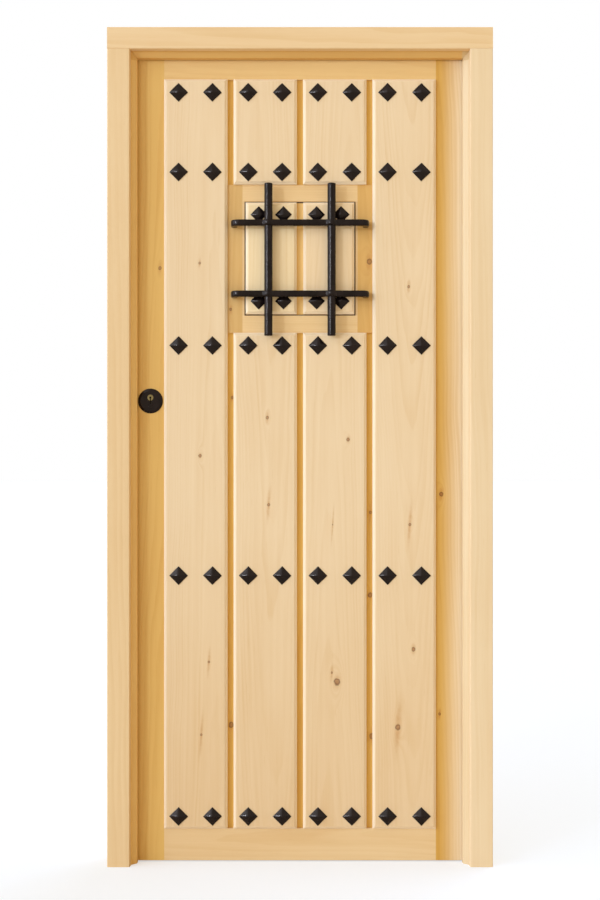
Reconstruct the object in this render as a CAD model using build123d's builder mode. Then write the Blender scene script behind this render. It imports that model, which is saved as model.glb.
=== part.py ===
"""Exterior door of pine boards with a small barred shutter, in its own frame.

All lengths are millimetres. X runs to the right as seen from outside, Y runs inward
and Z up. The origin is on the floor, in the middle of the frame's front plane.
"""

import os

from build123d import *

# Frame
frame_width = 960.0
frame_height = 2090.0
jamb_face = 56.0
head_face = 54.0
lip_depth = 19.0
lip_taper = 2.0
cove_depth = 10.0
stop_rise = 16.0
stop_rounding = 1.0
stop_depth = 43.0
edge_rounding = 2.5
cove_radius = 6.0
mitre_gap = 0.2
head_tenon_length = 30.0
head_tenon_width = 34.0
head_tenon_thickness = 18.0
tenon_clearance = 0.15
tenon_end_clearance = 1.0
fixing_hole_radius = 4.0
fixing_end_distance = 195.0
fixing_count = 4

# Seal
seal_gap = 3.0
seal_clearance = 0.3
seal_width = 8.0
seal_barb_width = 2.6
seal_barb_depth = 7.0
seal_groove_clearance = 0.2
seal_inset = 8.0
seal_rounding = 1.0

# Leaf
leaf_thickness = 44.0
side_gap = 4.0
head_gap = 4.0
floor_gap = 3.0
stile_width = 77.5
top_rail_height = 61.0
bottom_rail_height = 81.0
rail_tenon_length = 45.0
rail_tenon_thickness = 14.0
rail_tenon_shoulder = 12.0
leaf_edge_rounding = 1.2

# Boards
board_count = 4
board_gap = 15.0
board_thickness = 18.0
board_proud = 12.0
board_chamfer = 7.0
panel_thickness = 16.0
panel_tongue = 9.0
panel_tongue_thickness = 10.0
panel_groove_depth = 10.0
inner_board_thickness = 16.0
inner_board_groove = 2.5
inner_board_gap = 0.5
side_board_count = 2
middle_board_count = 4

# Window and shutter
window_drop = 265.0
window_height = 373.0
mullion_width = 37.5
window_lining_thickness = 5.0
window_rail_bottom_height = 43.5
window_rail_top_height = 42.0
window_tenon_length = 18.0
window_tenon_thickness = 12.0
throat_depth = 12.0
mullion_rebate = 7.0
window_rail_rebate = 12.0
shutter_gap = 3.0
shutter_flange_gap = 3.5
shutter_seat_gap = 0.3
shutter_strip = 16.0
shutter_chamfer = 7.0

# Pyramid studs
stud_side = 32.5
stud_height = 10.0
stud_edge_distance = 37.5
stud_shank_radius = 2.0
stud_shank_length = 28.0
stud_hole_clearance = 0.1
stud_tip_share = 0.06
top_row_inset = 35.0
above_window_row_inset = 30.0
below_window_row_inset = 33.0
bottom_row_inset = 33.0
middle_row_height = 722.0
shutter_stud_side = 29.0
shutter_stud_height = 8.0
shutter_stud_edge_distance = 33.5
shutter_stud_inset = 32.0

# Forged grille
grille_standoff = 29.0
upright_diameter = 20.0
upright_end_chamfer = 1.0
upright_inset = 61.0
upright_below_window = 10.0
upright_top_inset = 1.5
crossbar_size = 15.0
crossbar_rounding = 3.5
crossbar_leg_inset = 17.0
crossbar_bend_radius = 12.0
crossbar_upper_drop = 100.5
crossbar_lower_rise = 95.0
eye_radius = 15.0
eye_clearance = 0.1
stem_radius = 5.0
stem_clearance = 0.2
stem_end = 2.0
washer_radius = 10.0
washer_thickness = 2.0
nut_width = 16.0
nut_height = 8.0

# Hinges of the leaf
hinge_height = 120.0
hinge_plate_thickness = 2.5
hinge_plate_gap = 1.0
hinge_plate_width = 37.0
hinge_barrel_radius = 7.0
hinge_barrel_clearance = 0.3
hinge_pin_radius = 3.0
hinge_knuckles = 5
hinge_cap_height = 2.3
hinge_bottom_height = 320.0
hinge_middle_height = 1125.0
hinge_top_drop = 252.0

# Hinges of the shutter
shutter_hinge_height = 50.0
shutter_hinge_plate_thickness = 1.5
shutter_hinge_plate_gap = 0.5
shutter_hinge_plate_width = 28.0
shutter_hinge_barrel_radius = 3.0
shutter_hinge_pin_radius = 1.25
shutter_hinge_cap_height = 1.0
shutter_hinge_inset = 55.0

# Running fits, and how far a cut runs past the faces that it opens
running_clearance = 0.05
knuckle_gap = 0.3
cut_overrun = 1.0

# Screws
screw_head_radius = 4.0
screw_shank_radius = 2.0
screw_length = 32.0
small_screw_head_radius = 2.6
small_screw_shank_radius = 1.3
small_screw_length = 14.0
screw_clearance = 0.05

# Lock
lock_height = 1169.5
lock_backset = 43.0
lock_case_thickness = 16.0
lock_case_wall = 2.0
lock_case_behind = 20.0
lock_case_below = 45.0
lock_case_above = 110.0
lock_case_clearance = 0.3
faceplate_thickness = 3.0
faceplate_width = 22.0
faceplate_overhang = 30.0
deadbolt_rise = 37.0
deadbolt_height = 32.0
deadbolt_length = 40.0
deadbolt_travel = 20.0
latch_rise = 80.0
latch_height = 20.0
latch_length = 34.0
latch_travel = 12.0
bolt_nose_chamfer = 1.0
bolt_clearance = 0.3
strike_thickness = 2.0
strike_width = 28.0
strike_overhang = 26.0
strike_clearance = 1.0
pocket_depth = 6.0

# Cylinder
cylinder_radius = 9.0
cylinder_tail_width = 10.0
cylinder_tail_drop = 24.5
cylinder_clearance = 0.3
plug_radius = 7.5
cam_radius = 12.5
cam_thickness = 7.0
cam_gap = 10.0
cylinder_bridge_height = 8.0
keyhole_radius = 2.75
key_slot_width = 2.8
key_slot_drop = 15.0
keyway_depth = 22.0
thumbturn_radius = 8.7
thumbturn_base = 5.0
thumbturn_wing_length = 28.0
thumbturn_wing_thickness = 5.0
thumbturn_wing_depth = 18.0
thumbturn_wing_rounding = 6.0

# Escutcheons
escutcheon_radius = 31.2
escutcheon_thickness = 3.6
escutcheon_rim = 1.4
escutcheon_bevel = 6.0
escutcheon_drop = 8.5
escutcheon_screw_offset = 21.5

# Inner pull
pull_drop = 99.5
pull_length = 180.0
pull_radius = 7.0
pull_reach = 48.0
pull_bend = 20.0
rosette_radius = 22.0
rosette_thickness = 3.0
rosette_screw_offset = 14.0

# Shutter bolt
bolt_rod_radius = 4.0
bolt_rod_length = 62.0
bolt_rod_travel = 20.0
bolt_rod_chamfer = 0.8
bolt_plate_length = 54.0
bolt_plate_height = 32.0
bolt_plate_thickness = 2.0
bolt_guide_width = 8.0
bolt_guide_height = 14.0
bolt_rod_lift = 8.0
bolt_tip_inset = 2.0
bolt_knob_radius = 4.5
bolt_knob_height = 12.0
bolt_keep_length = 22.0
bolt_keep_gap = 4.0
bolt_keep_rounding = 3.5

# Planes of depth that the sizes above give
leaf_front = stop_depth + seal_gap
leaf_back = leaf_front + leaf_thickness
frame_depth = leaf_back
leaf_middle = (leaf_front + leaf_back) / 2
board_front = leaf_front - board_proud
panel_front = board_front + board_thickness
panel_back = panel_front + panel_thickness
inner_board_back = panel_back + inner_board_thickness
tongue_front = (panel_front + panel_back - panel_tongue_thickness) / 2
tongue_back = tongue_front + panel_tongue_thickness

# Places across and up the door
frame_half = frame_width / 2
rebate_half = frame_half - jamb_face
head_soffit = frame_height - head_face
fixing_pitch = (frame_height - 2 * fixing_end_distance) / (fixing_count - 1)
fixing_heights = [fixing_end_distance + step * fixing_pitch for step in range(fixing_count)]
leaf_half = rebate_half - side_gap
leaf_bottom = floor_gap
leaf_top = head_soffit - head_gap
field_half = leaf_half - stile_width
field_bottom = leaf_bottom + bottom_rail_height
field_top = leaf_top - top_rail_height
board_width = (2 * field_half - (board_count - 1) * board_gap) / board_count
board_pitch = board_width + board_gap
first_board_centre = -field_half + board_width / 2
board_centres = [first_board_centre + column * board_pitch for column in range(board_count)]
window_half = field_half - board_width
window_top = field_top - window_drop
window_bottom = window_top - window_height
mullion_inner = window_half - mullion_width
opening_half = mullion_inner - window_lining_thickness
opening_bottom = window_bottom + window_rail_bottom_height
opening_top = window_top - window_rail_top_height
throat_back = leaf_front + throat_depth
rebate_inner = mullion_inner + mullion_rebate
rebate_bottom = opening_bottom - window_rail_rebate
rebate_top = opening_top + window_rail_rebate

# Shutter
shutter_half = opening_half - shutter_gap
shutter_bottom = opening_bottom + shutter_gap
shutter_top = opening_top - shutter_gap
flange_half = rebate_inner - shutter_flange_gap
flange_bottom = rebate_bottom + shutter_flange_gap
flange_top = rebate_top - shutter_flange_gap
shutter_board_width = shutter_half - shutter_strip / 2
shutter_board_centre = (shutter_half + shutter_strip / 2) / 2

# Hinge axes
hinge_x = leaf_half + side_gap / 2
hinge_y = leaf_back + hinge_barrel_radius + hinge_barrel_clearance
shutter_hinge_x = (flange_half + rebate_inner) / 2
shutter_hinge_y = leaf_back + shutter_hinge_barrel_radius + hinge_barrel_clearance
hinge_heights = [hinge_bottom_height, hinge_middle_height, leaf_top - hinge_top_drop]
hinge_names = ["bottom", "middle", "top"]
shutter_hinge_heights = [
    shutter_bottom + shutter_hinge_inset,
    shutter_top - shutter_hinge_inset,
]

# Stud rows
rows_full = [
    field_bottom + bottom_row_inset,
    middle_row_height,
    window_bottom - below_window_row_inset,
    window_top + above_window_row_inset,
    field_top - top_row_inset,
]
rows_lower = rows_full[:3]
rows_upper = rows_full[3:]

# Lock
lock_x = -leaf_half + lock_backset
case_front_x = -leaf_half + faceplate_thickness
case_back_x = lock_x + lock_case_behind
case_bottom = lock_height - lock_case_below
case_top = lock_height + lock_case_above
bolt_half_thickness = lock_case_thickness / 2 - lock_case_wall - bolt_clearance
bolts = {
    "deadbolt": (lock_height + deadbolt_rise, deadbolt_height, deadbolt_length, deadbolt_travel),
    "latch_bolt": (lock_height + latch_rise, latch_height, latch_length, latch_travel),
}
escutcheon_height = lock_height - escutcheon_drop
cylinder_front = leaf_front - escutcheon_thickness
cylinder_back = leaf_back + escutcheon_thickness

# Grille
grille_y = leaf_front - grille_standoff
upright_x = opening_half - upright_inset
upright_ends = (window_bottom - upright_below_window, window_top - upright_top_inset)
crossbar_leg_x = window_half - crossbar_leg_inset
crossbar_heights = {
    "upper": window_top - crossbar_upper_drop,
    "lower": window_bottom + crossbar_lower_rise,
}
stem_back = leaf_back + washer_thickness + nut_height + stem_end

# Inner pull and shutter bolt
pull_ends = [lock_height - pull_drop - pull_length, lock_height - pull_drop]
shutter_middle = (shutter_bottom + shutter_top) / 2
rod_y = leaf_back + bolt_rod_lift
rod_tip_x = -flange_half + bolt_tip_inset
bolt_plate_x = rod_tip_x + bolt_tip_inset + bolt_plate_length / 2
bolt_guide_xs = [
    bolt_plate_x - (bolt_plate_length - bolt_guide_width) / 2,
    bolt_plate_x + (bolt_plate_length - bolt_guide_width) / 2,
]
rod_knob_x = bolt_plate_x + bolt_rod_travel / 2
bolt_keep_x = -rebate_inner - bolt_keep_gap - bolt_keep_length / 2

os.makedirs("parts", exist_ok=True)


def save(part, name):
    """Labels a finished piece and writes it under its own name."""
    part.label = name
    export_step(part, f"parts/{name}.step")


def block(x, y, z, mode=Mode.ADD):
    """Box between two values on each axis, added to or cut from the part being made."""
    centre = ((x[0] + x[1]) / 2, (y[0] + y[1]) / 2, (z[0] + z[1]) / 2)
    with Locations(centre):
        Box(abs(x[1] - x[0]), abs(y[1] - y[0]), abs(z[1] - z[0]), mode=mode)


def rod_x(x, y, z, radius, mode=Mode.ADD):
    """Round rod along X, from x[0] to x[1]."""
    with Locations(Location(((x[0] + x[1]) / 2, y, z), (0, 90, 0))):
        Cylinder(radius, abs(x[1] - x[0]), mode=mode)


def rod_y_axis(x, y, z, radius, mode=Mode.ADD):
    """Round rod along Y, from y[0] to y[1]."""
    with Locations(Location((x, (y[0] + y[1]) / 2, z), (90, 0, 0))):
        Cylinder(radius, abs(y[1] - y[0]), mode=mode)


def rod_z(x, y, z, radius, mode=Mode.ADD):
    """Round rod along Z, from z[0] to z[1]."""
    with Locations((x, y, (z[0] + z[1]) / 2)):
        Cylinder(radius, abs(z[1] - z[0]), mode=mode)


def countersunk_screw(head_radius, shank_radius, length, allowance=0.0):
    """Countersunk wood screw whose head lies in the XY plane and points along -Z."""
    head = head_radius + allowance
    shank = shank_radius + allowance
    cone = head_radius - shank_radius
    with BuildPart() as screw:
        with BuildSketch(Plane.XZ):
            Polygon(
                (0, 0),
                (head, 0),
                (shank, -cone),
                (shank, -length + 2 * shank_radius),
                (0, -length - allowance),
                align=None,
            )
        revolve(axis=Axis.Z)
    return screw.part


# The four ways that a screw is driven, as rotations of one made along -Z
turn_screw = {"+X": (0, -90, 0), "-X": (0, 90, 0), "+Y": (90, 0, 0), "-Y": (-90, 0, 0)}

large_screw = countersunk_screw(screw_head_radius, screw_shank_radius, screw_length)
large_screw_hole = countersunk_screw(
    screw_head_radius, screw_shank_radius, screw_length, screw_clearance
)
small_screw = countersunk_screw(
    small_screw_head_radius, small_screw_shank_radius, small_screw_length
)
small_screw_hole = countersunk_screw(
    small_screw_head_radius, small_screw_shank_radius, small_screw_length, screw_clearance
)


def place(solid, places, mode=Mode.ADD):
    """Puts a copy of a solid at each place, in the part being made."""
    copies = [solid.moved(spot) for spot in places]
    add(copies, mode=mode)


# Screw places, each with the way it is driven
door_plate_x = hinge_x - hinge_plate_gap / 2 - hinge_plate_thickness
frame_plate_x = hinge_x + hinge_plate_gap / 2 + hinge_plate_thickness
hinge_screw_y = leaf_back - (hinge_plate_width - hinge_barrel_radius) / 2
hinge_screw_offsets = [eighth * hinge_height / 8 for eighth in (-3, -1, 1, 3)]
hinge_screw_heights = [z + offset for z in hinge_heights for offset in hinge_screw_offsets]
frame_hinge_screws = [
    Location((frame_plate_x - hinge_plate_thickness, hinge_screw_y, z), turn_screw["+X"])
    for z in hinge_screw_heights
]
door_hinge_screws = [
    Location((door_plate_x + hinge_plate_thickness, hinge_screw_y, z), turn_screw["-X"])
    for z in hinge_screw_heights
]
strike_bottom = lock_height + deadbolt_rise - deadbolt_height / 2 - strike_overhang
strike_top = lock_height + latch_rise + latch_height / 2 + strike_overhang
strike_screws = [
    Location((-rebate_half, leaf_middle, z), turn_screw["-X"])
    for z in (strike_bottom + strike_overhang / 2, strike_top - strike_overhang / 2)
]
faceplate_bottom = case_bottom - faceplate_overhang
faceplate_top = case_top + faceplate_overhang
faceplate_screws = [
    Location((-leaf_half, leaf_middle, z), turn_screw["+X"])
    for z in (faceplate_bottom + faceplate_overhang / 2, faceplate_top - faceplate_overhang / 2)
]
pull_screws = [
    Location((lock_x + side * rosette_screw_offset, leaf_back + rosette_thickness, z), turn_screw["-Y"])
    for z in pull_ends
    for side in (-1, 1)
]
outer_escutcheon_screws = [
    Location((lock_x, cylinder_front, escutcheon_height + side * escutcheon_screw_offset), turn_screw["+Y"])
    for side in (-1, 1)
]
inner_escutcheon_screws = [
    Location((lock_x, cylinder_back, escutcheon_height + side * escutcheon_screw_offset), turn_screw["-Y"])
    for side in (-1, 1)
]
shutter_hinge_screw_heights = [
    z + side * shutter_hinge_height / 4 for z in shutter_hinge_heights for side in (-1, 1)
]
shutter_hinge_screw_y = leaf_back - (shutter_hinge_plate_width - shutter_hinge_barrel_radius) / 2
shutter_frame_screws = [
    Location(
        (shutter_hinge_x + shutter_hinge_plate_gap / 2, shutter_hinge_screw_y, z), turn_screw["+X"]
    )
    for z in shutter_hinge_screw_heights
]
shutter_door_screws = [
    Location(
        (shutter_hinge_x - shutter_hinge_plate_gap / 2, shutter_hinge_screw_y, z), turn_screw["-X"]
    )
    for z in shutter_hinge_screw_heights
]
bolt_plate_screws = [
    Location((bolt_plate_x, leaf_back + bolt_plate_thickness, z), turn_screw["-Y"])
    for z in (
        shutter_middle - bolt_plate_height * 3 / 8,
        shutter_middle + bolt_plate_height * 3 / 8,
    )
]


# Where the stop moulding meets the lip of the bar behind it
lip_end = lip_depth - cove_radius / 2
lip_rise = lip_taper * lip_end / lip_depth


def rounded_section(outline, roundings, plane, side):
    """Closed outline of points across and inward, with some of its corners rounded."""
    with BuildSketch(plane) as section:
        with BuildLine():
            Polyline([(side * across, inward) for across, inward in outline], close=True)
        make_face()
        for (across, inward), radius in roundings.items():
            fillet(section.vertices().sort_by_distance((side * across, inward))[0], radius)
    return section.sketch


def bar_section(face, plane, side=1):
    """Section of a jamb or header bar: across from its outer edge, and inward."""
    outline = [
        (0, 0),
        (face, 0),
        (face + lip_rise, lip_end),
        (face, lip_end),
        (face, frame_depth),
        (0, frame_depth),
    ]
    roundings = {outline[0]: edge_rounding, outline[1]: edge_rounding}
    return rounded_section(outline, roundings, plane, side)


def stop_section(face, plane, side=1):
    """Section of the stop moulding that is planted on the bar, with its cove."""
    outline = [
        (face, lip_end),
        (face + lip_rise, lip_end),
        (face + lip_taper, lip_depth),
        (face + stop_rise - stop_rounding, lip_depth + cove_depth),
        (face + stop_rise, stop_depth),
        (face, stop_depth),
    ]
    roundings = {outline[2]: cove_radius, outline[3]: edge_rounding, outline[4]: stop_rounding}
    return rounded_section(outline, roundings, plane, side)


def seal_band(inset, width, depths):
    """Band that follows the two jambs and the header, between two depths."""
    middle = rebate_half - inset
    top = head_soffit - inset
    outer = middle + width / 2
    inner = middle - width / 2
    block((-outer, outer), depths, (0, top + width / 2))
    block((-inner, inner), depths, (-cut_overrun, top - width / 2), mode=Mode.SUBTRACT)


def hinge_plate_and_knuckles(axis_x, axis_y, z, size, side, own):
    """One half of a butt hinge: its plate and the knuckles that belong to it."""
    height, thickness, gap, width, barrel, pin, _ = size
    near = axis_x + side * gap / 2
    far = near + side * thickness
    plate_back = axis_y - barrel - knuckle_gap
    block((near, far), (axis_y - width, plate_back), (z - height / 2, z + height / 2))
    pitch = height / hinge_knuckles
    for index in range(hinge_knuckles):
        if index % 2 != own:
            continue
        low = z - height / 2 + index * pitch + (knuckle_gap / 2 if index else 0)
        last = index == hinge_knuckles - 1
        high = z - height / 2 + (index + 1) * pitch - (0 if last else knuckle_gap / 2)
        block((near, far), (plate_back, axis_y), (low, high))
        rod_z(axis_x, axis_y, (low, high), barrel)
    rod_z(
        axis_x,
        axis_y,
        (z - height, z + height),
        pin + running_clearance,
        mode=Mode.SUBTRACT,
    )


def hinge_pin(axis_x, axis_y, z, size):
    """Hinge pin with a flat cap at each end."""
    height, _, _, _, barrel, pin, cap = size
    rod_z(axis_x, axis_y, (z - height / 2, z + height / 2), pin)
    rod_z(axis_x, axis_y, (z + height / 2, z + height / 2 + cap), barrel)
    rod_z(axis_x, axis_y, (z - height / 2 - cap, z - height / 2), barrel)


leaf_hinge = (
    hinge_height,
    hinge_plate_thickness,
    hinge_plate_gap,
    hinge_plate_width + hinge_barrel_clearance,
    hinge_barrel_radius,
    hinge_pin_radius,
    hinge_cap_height,
)
shutter_hinge = (
    shutter_hinge_height,
    shutter_hinge_plate_thickness,
    shutter_hinge_plate_gap,
    shutter_hinge_plate_width + hinge_barrel_clearance,
    shutter_hinge_barrel_radius,
    shutter_hinge_pin_radius,
    shutter_hinge_cap_height,
)


def cylinder_profile(plane, allowance=0.0):
    """Outline of the lock cylinder: a round head with a narrower tail below."""
    radius = cylinder_radius + allowance
    half = cylinder_tail_width / 2 + allowance
    with BuildSketch(plane) as profile:
        Circle(radius)
        with Locations((0, -(cylinder_tail_drop - half + allowance) / 2)):
            Rectangle(2 * half, cylinder_tail_drop - half + allowance)
        with Locations((0, -cylinder_tail_drop + half - allowance)):
            Circle(half)
    return profile.sketch


def cut_cylinder_profile(allowance):
    """Cuts the cylinder's outline right through the part being made."""
    before = (lock_x, cylinder_front - cut_overrun, lock_height)
    outline = cylinder_profile(Plane(before, x_dir=(1, 0, 0), z_dir=(0, -1, 0)), allowance)
    through = cylinder_back - cylinder_front + 2 * cut_overrun
    extrude(outline, amount=-through, mode=Mode.SUBTRACT)


def head_tenon(side, allowance=0.0, end_allowance=0.0):
    """Tenon on top of a jamb, or the mortise for it in the header."""
    middle_x = side * (frame_half - jamb_face / 2)
    half_width = head_tenon_width / 2 + allowance
    half_thickness = head_tenon_thickness / 2 + allowance
    mode = Mode.SUBTRACT if end_allowance else Mode.ADD
    block(
        (middle_x - half_width, middle_x + half_width),
        (leaf_middle - half_thickness, leaf_middle + half_thickness),
        (head_soffit, head_soffit + head_tenon_length + end_allowance),
        mode=mode,
    )


def mitre_cut(side, keep_jamb, gap=0.0):
    """Cuts the frame's mouldings along the mitre between a jamb and the header."""
    reach = stop_rise + cut_overrun
    face_x = side * (rebate_half - gap)
    inner_x = side * (rebate_half - gap - reach)
    outer_x = side * (frame_half + cut_overrun)
    low = head_soffit - reach
    if keep_jamb:
        corners = [(face_x, head_soffit), (inner_x, low), (inner_x, head_soffit + cut_overrun)]
    else:
        corners = [(face_x, head_soffit), (inner_x, low), (outer_x, low), (outer_x, head_soffit)]
    with BuildSketch(Plane.XZ.offset(cut_overrun)) as waste:
        Polygon(*corners, align=None)
    extrude(waste.sketch, amount=-(frame_depth + 2 * cut_overrun), mode=Mode.SUBTRACT)


bolt_slot_depths = (
    leaf_middle - bolt_half_thickness - strike_clearance,
    leaf_middle + bolt_half_thickness + strike_clearance,
)


def make_jamb(side, name):
    """Jamb bar, mitred at its lip, with a tenon for the header."""
    section_plane = Plane((side * frame_half, 0, 0), x_dir=(1, 0, 0), z_dir=(0, 0, 1))
    with BuildPart() as jamb:
        extrude(bar_section(jamb_face, section_plane, -side), amount=head_soffit)
        mitre_cut(side, keep_jamb=True)
        head_tenon(side)
        for z in fixing_heights:
            rod_x(
                (side * (rebate_half - cut_overrun), side * (frame_half + cut_overrun)),
                leaf_middle,
                z,
                fixing_hole_radius,
                mode=Mode.SUBTRACT,
            )
        if side > 0:
            for z in hinge_heights:
                block(
                    (rebate_half, frame_plate_x),
                    (hinge_y - hinge_plate_width - hinge_barrel_clearance, frame_depth),
                    (z - hinge_height / 2, z + hinge_height / 2),
                    mode=Mode.SUBTRACT,
                )
            place(large_screw_hole, frame_hinge_screws, mode=Mode.SUBTRACT)
        else:
            block(
                (-rebate_half, -rebate_half - strike_thickness),
                (leaf_middle - strike_width / 2, leaf_middle + strike_width / 2),
                (strike_bottom, strike_top),
                mode=Mode.SUBTRACT,
            )
            for height, tall, _, travel in bolts.values():
                block(
                    (-rebate_half, -leaf_half - travel - pocket_depth),
                    bolt_slot_depths,
                    (height - tall / 2 - strike_clearance, height + tall / 2 + strike_clearance),
                    mode=Mode.SUBTRACT,
                )
            place(large_screw_hole, strike_screws, mode=Mode.SUBTRACT)
    save(jamb.part, name)


# Frame
make_jamb(-1, "jamb_left")
make_jamb(1, "jamb_right")

header_plane = Plane((-frame_half, 0, frame_height), x_dir=(0, 0, -1), z_dir=(1, 0, 0))
with BuildPart() as header:
    extrude(bar_section(head_face, header_plane), amount=frame_width)
    for side in (-1, 1):
        mitre_cut(side, keep_jamb=False)
        head_tenon(side, tenon_clearance, tenon_end_clearance)
save(header.part, "header")

with BuildPart() as seal_groove:
    seal_band(
        seal_inset,
        seal_barb_width + 2 * seal_groove_clearance,
        (stop_depth - seal_barb_depth - seal_groove_clearance, stop_depth + cut_overrun),
    )

with BuildPart() as head_stop:
    extrude(stop_section(head_face, header_plane), amount=frame_width)
    for side in (-1, 1):
        mitre_cut(side, keep_jamb=False, gap=mitre_gap)

with BuildPart() as door_stop:
    for side in (-1, 1):
        foot_plane = Plane((side * frame_half, 0, 0), x_dir=(1, 0, 0), z_dir=(0, 0, 1))
        extrude(stop_section(jamb_face, foot_plane, -side), amount=head_soffit)
        mitre_cut(side, keep_jamb=True)
    add(head_stop.part)
    add(seal_groove.part, mode=Mode.SUBTRACT)
save(door_stop.part, "door_stop")

with BuildPart() as seal_barb:
    seal_band(seal_inset, seal_barb_width, (stop_depth - seal_barb_depth, stop_depth))

with BuildPart() as weather_seal:
    seal_band(seal_inset, seal_width, (stop_depth, leaf_front - seal_clearance))
    fillet(weather_seal.faces().sort_by(Axis.Y)[-1].edges(), seal_rounding)
    add(seal_barb.part)
save(weather_seal.part, "weather_seal")

with BuildPart() as strike_plate:
    block(
        (-rebate_half, -rebate_half - strike_thickness),
        (leaf_middle - strike_width / 2, leaf_middle + strike_width / 2),
        (strike_bottom, strike_top),
    )
    for height, tall, _, _ in bolts.values():
        block(
            (-rebate_half + cut_overrun, -rebate_half - strike_thickness - cut_overrun),
            bolt_slot_depths,
            (height - tall / 2 - strike_clearance, height + tall / 2 + strike_clearance),
            mode=Mode.SUBTRACT,
        )
    place(large_screw_hole, strike_screws, mode=Mode.SUBTRACT)
save(strike_plate.part, "strike_plate")

with BuildPart() as frame_screws:
    place(large_screw, strike_screws + frame_hinge_screws)
save(frame_screws.part, "frame_screws")

for z, height_name in zip(hinge_heights, hinge_names):
    with BuildPart() as frame_plate:
        hinge_plate_and_knuckles(hinge_x, hinge_y, z, leaf_hinge, 1, 0)
        place(large_screw_hole, frame_hinge_screws, mode=Mode.SUBTRACT)
    save(frame_plate.part, f"hinge_{height_name}_frame_plate")
    with BuildPart() as door_plate:
        hinge_plate_and_knuckles(hinge_x, hinge_y, z, leaf_hinge, -1, 1)
        place(large_screw_hole, door_hinge_screws, mode=Mode.SUBTRACT)
    save(door_plate.part, f"hinge_{height_name}_door_plate")

with BuildPart() as hinge_pins:
    for z in hinge_heights:
        hinge_pin(hinge_x, hinge_y, z, leaf_hinge)
save(hinge_pins.part, "hinge_pins")


def rail_tenon(side, low, high, allowance=0.0, end_allowance=0.0, mode=Mode.ADD):
    """Tenon at a rail's end, or the mortise for it in a stile."""
    half = rail_tenon_thickness / 2 + allowance
    block(
        (side * field_half, side * (field_half + rail_tenon_length + end_allowance)),
        (leaf_middle - half, leaf_middle + half),
        (low - allowance, high + allowance),
        mode=mode,
    )


bottom_tenon = (leaf_bottom + rail_tenon_shoulder, field_bottom - rail_tenon_shoulder)
top_tenon = (field_top + rail_tenon_shoulder, leaf_top - rail_tenon_shoulder)


def make_stile(side, name):
    """Stile of the leaf, grooved for the panel and mortised for both rails."""
    with BuildPart() as stile:
        block((side * field_half, side * leaf_half), (leaf_front, leaf_back), (leaf_bottom, leaf_top))
        outer_edges = stile.edges().filter_by(Axis.Z).group_by(Axis.X)[0 if side < 0 else -1]
        fillet(outer_edges, leaf_edge_rounding)
        block(
            (side * field_half, side * (field_half + panel_groove_depth)),
            (tongue_front, tongue_back),
            (field_bottom - panel_groove_depth, field_top + panel_groove_depth),
            mode=Mode.SUBTRACT,
        )
        for low, high in (bottom_tenon, top_tenon):
            rail_tenon(side, low, high, tenon_clearance, tenon_end_clearance, Mode.SUBTRACT)
        if side > 0:
            for z in hinge_heights:
                block(
                    (leaf_half, door_plate_x),
                    (hinge_y - hinge_plate_width - hinge_barrel_clearance, leaf_back),
                    (z - hinge_height / 2, z + hinge_height / 2),
                    mode=Mode.SUBTRACT,
                )
            place(large_screw_hole, door_hinge_screws, mode=Mode.SUBTRACT)
        else:
            block(
                (-leaf_half, case_front_x),
                (leaf_middle - faceplate_width / 2, leaf_middle + faceplate_width / 2),
                (faceplate_bottom, faceplate_top),
                mode=Mode.SUBTRACT,
            )
            half = lock_case_thickness / 2 + lock_case_clearance
            block(
                (case_front_x, case_back_x + lock_case_clearance),
                (leaf_middle - half, leaf_middle + half),
                (case_bottom - lock_case_clearance, case_top + lock_case_clearance),
                mode=Mode.SUBTRACT,
            )
            cut_cylinder_profile(cylinder_clearance)
            place(large_screw_hole, faceplate_screws + pull_screws, mode=Mode.SUBTRACT)
            place(
                small_screw_hole,
                outer_escutcheon_screws + inner_escutcheon_screws,
                mode=Mode.SUBTRACT,
            )
    save(stile.part, name)


# Leaf
make_stile(-1, "stile_left")
make_stile(1, "stile_right")

bottom_groove = (field_bottom - panel_groove_depth, field_bottom)
top_groove = (field_top, field_top + panel_groove_depth)
for low, high, tenon, groove, name in (
    (leaf_bottom, field_bottom, bottom_tenon, bottom_groove, "bottom_rail"),
    (field_top, leaf_top, top_tenon, top_groove, "top_rail"),
):
    with BuildPart() as rail:
        block((-field_half, field_half), (leaf_front, leaf_back), (low, high))
        block((-field_half, field_half), (tongue_front, tongue_back), groove, mode=Mode.SUBTRACT)
        for side in (-1, 1):
            rail_tenon(side, *tenon)
    save(rail.part, name)


def window_tenon(side, middle, allowance=0.0, end_allowance=0.0, mode=Mode.ADD):
    """Tenon at the end of a window rail, or the mortise for it in a mullion."""
    half = window_tenon_thickness / 2 + allowance
    tenon_half_height = (window_rail_bottom_height - window_rail_rebate) / 2 - panel_groove_depth
    block(
        (side * mullion_inner, side * (mullion_inner + window_tenon_length + end_allowance)),
        (leaf_middle - half, leaf_middle + half),
        (middle - tenon_half_height - allowance, middle + tenon_half_height + allowance),
        mode=mode,
    )


window_tenon_heights = [
    (window_bottom + panel_groove_depth + rebate_bottom) / 2,
    (window_top - panel_groove_depth + rebate_top) / 2,
]

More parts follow.
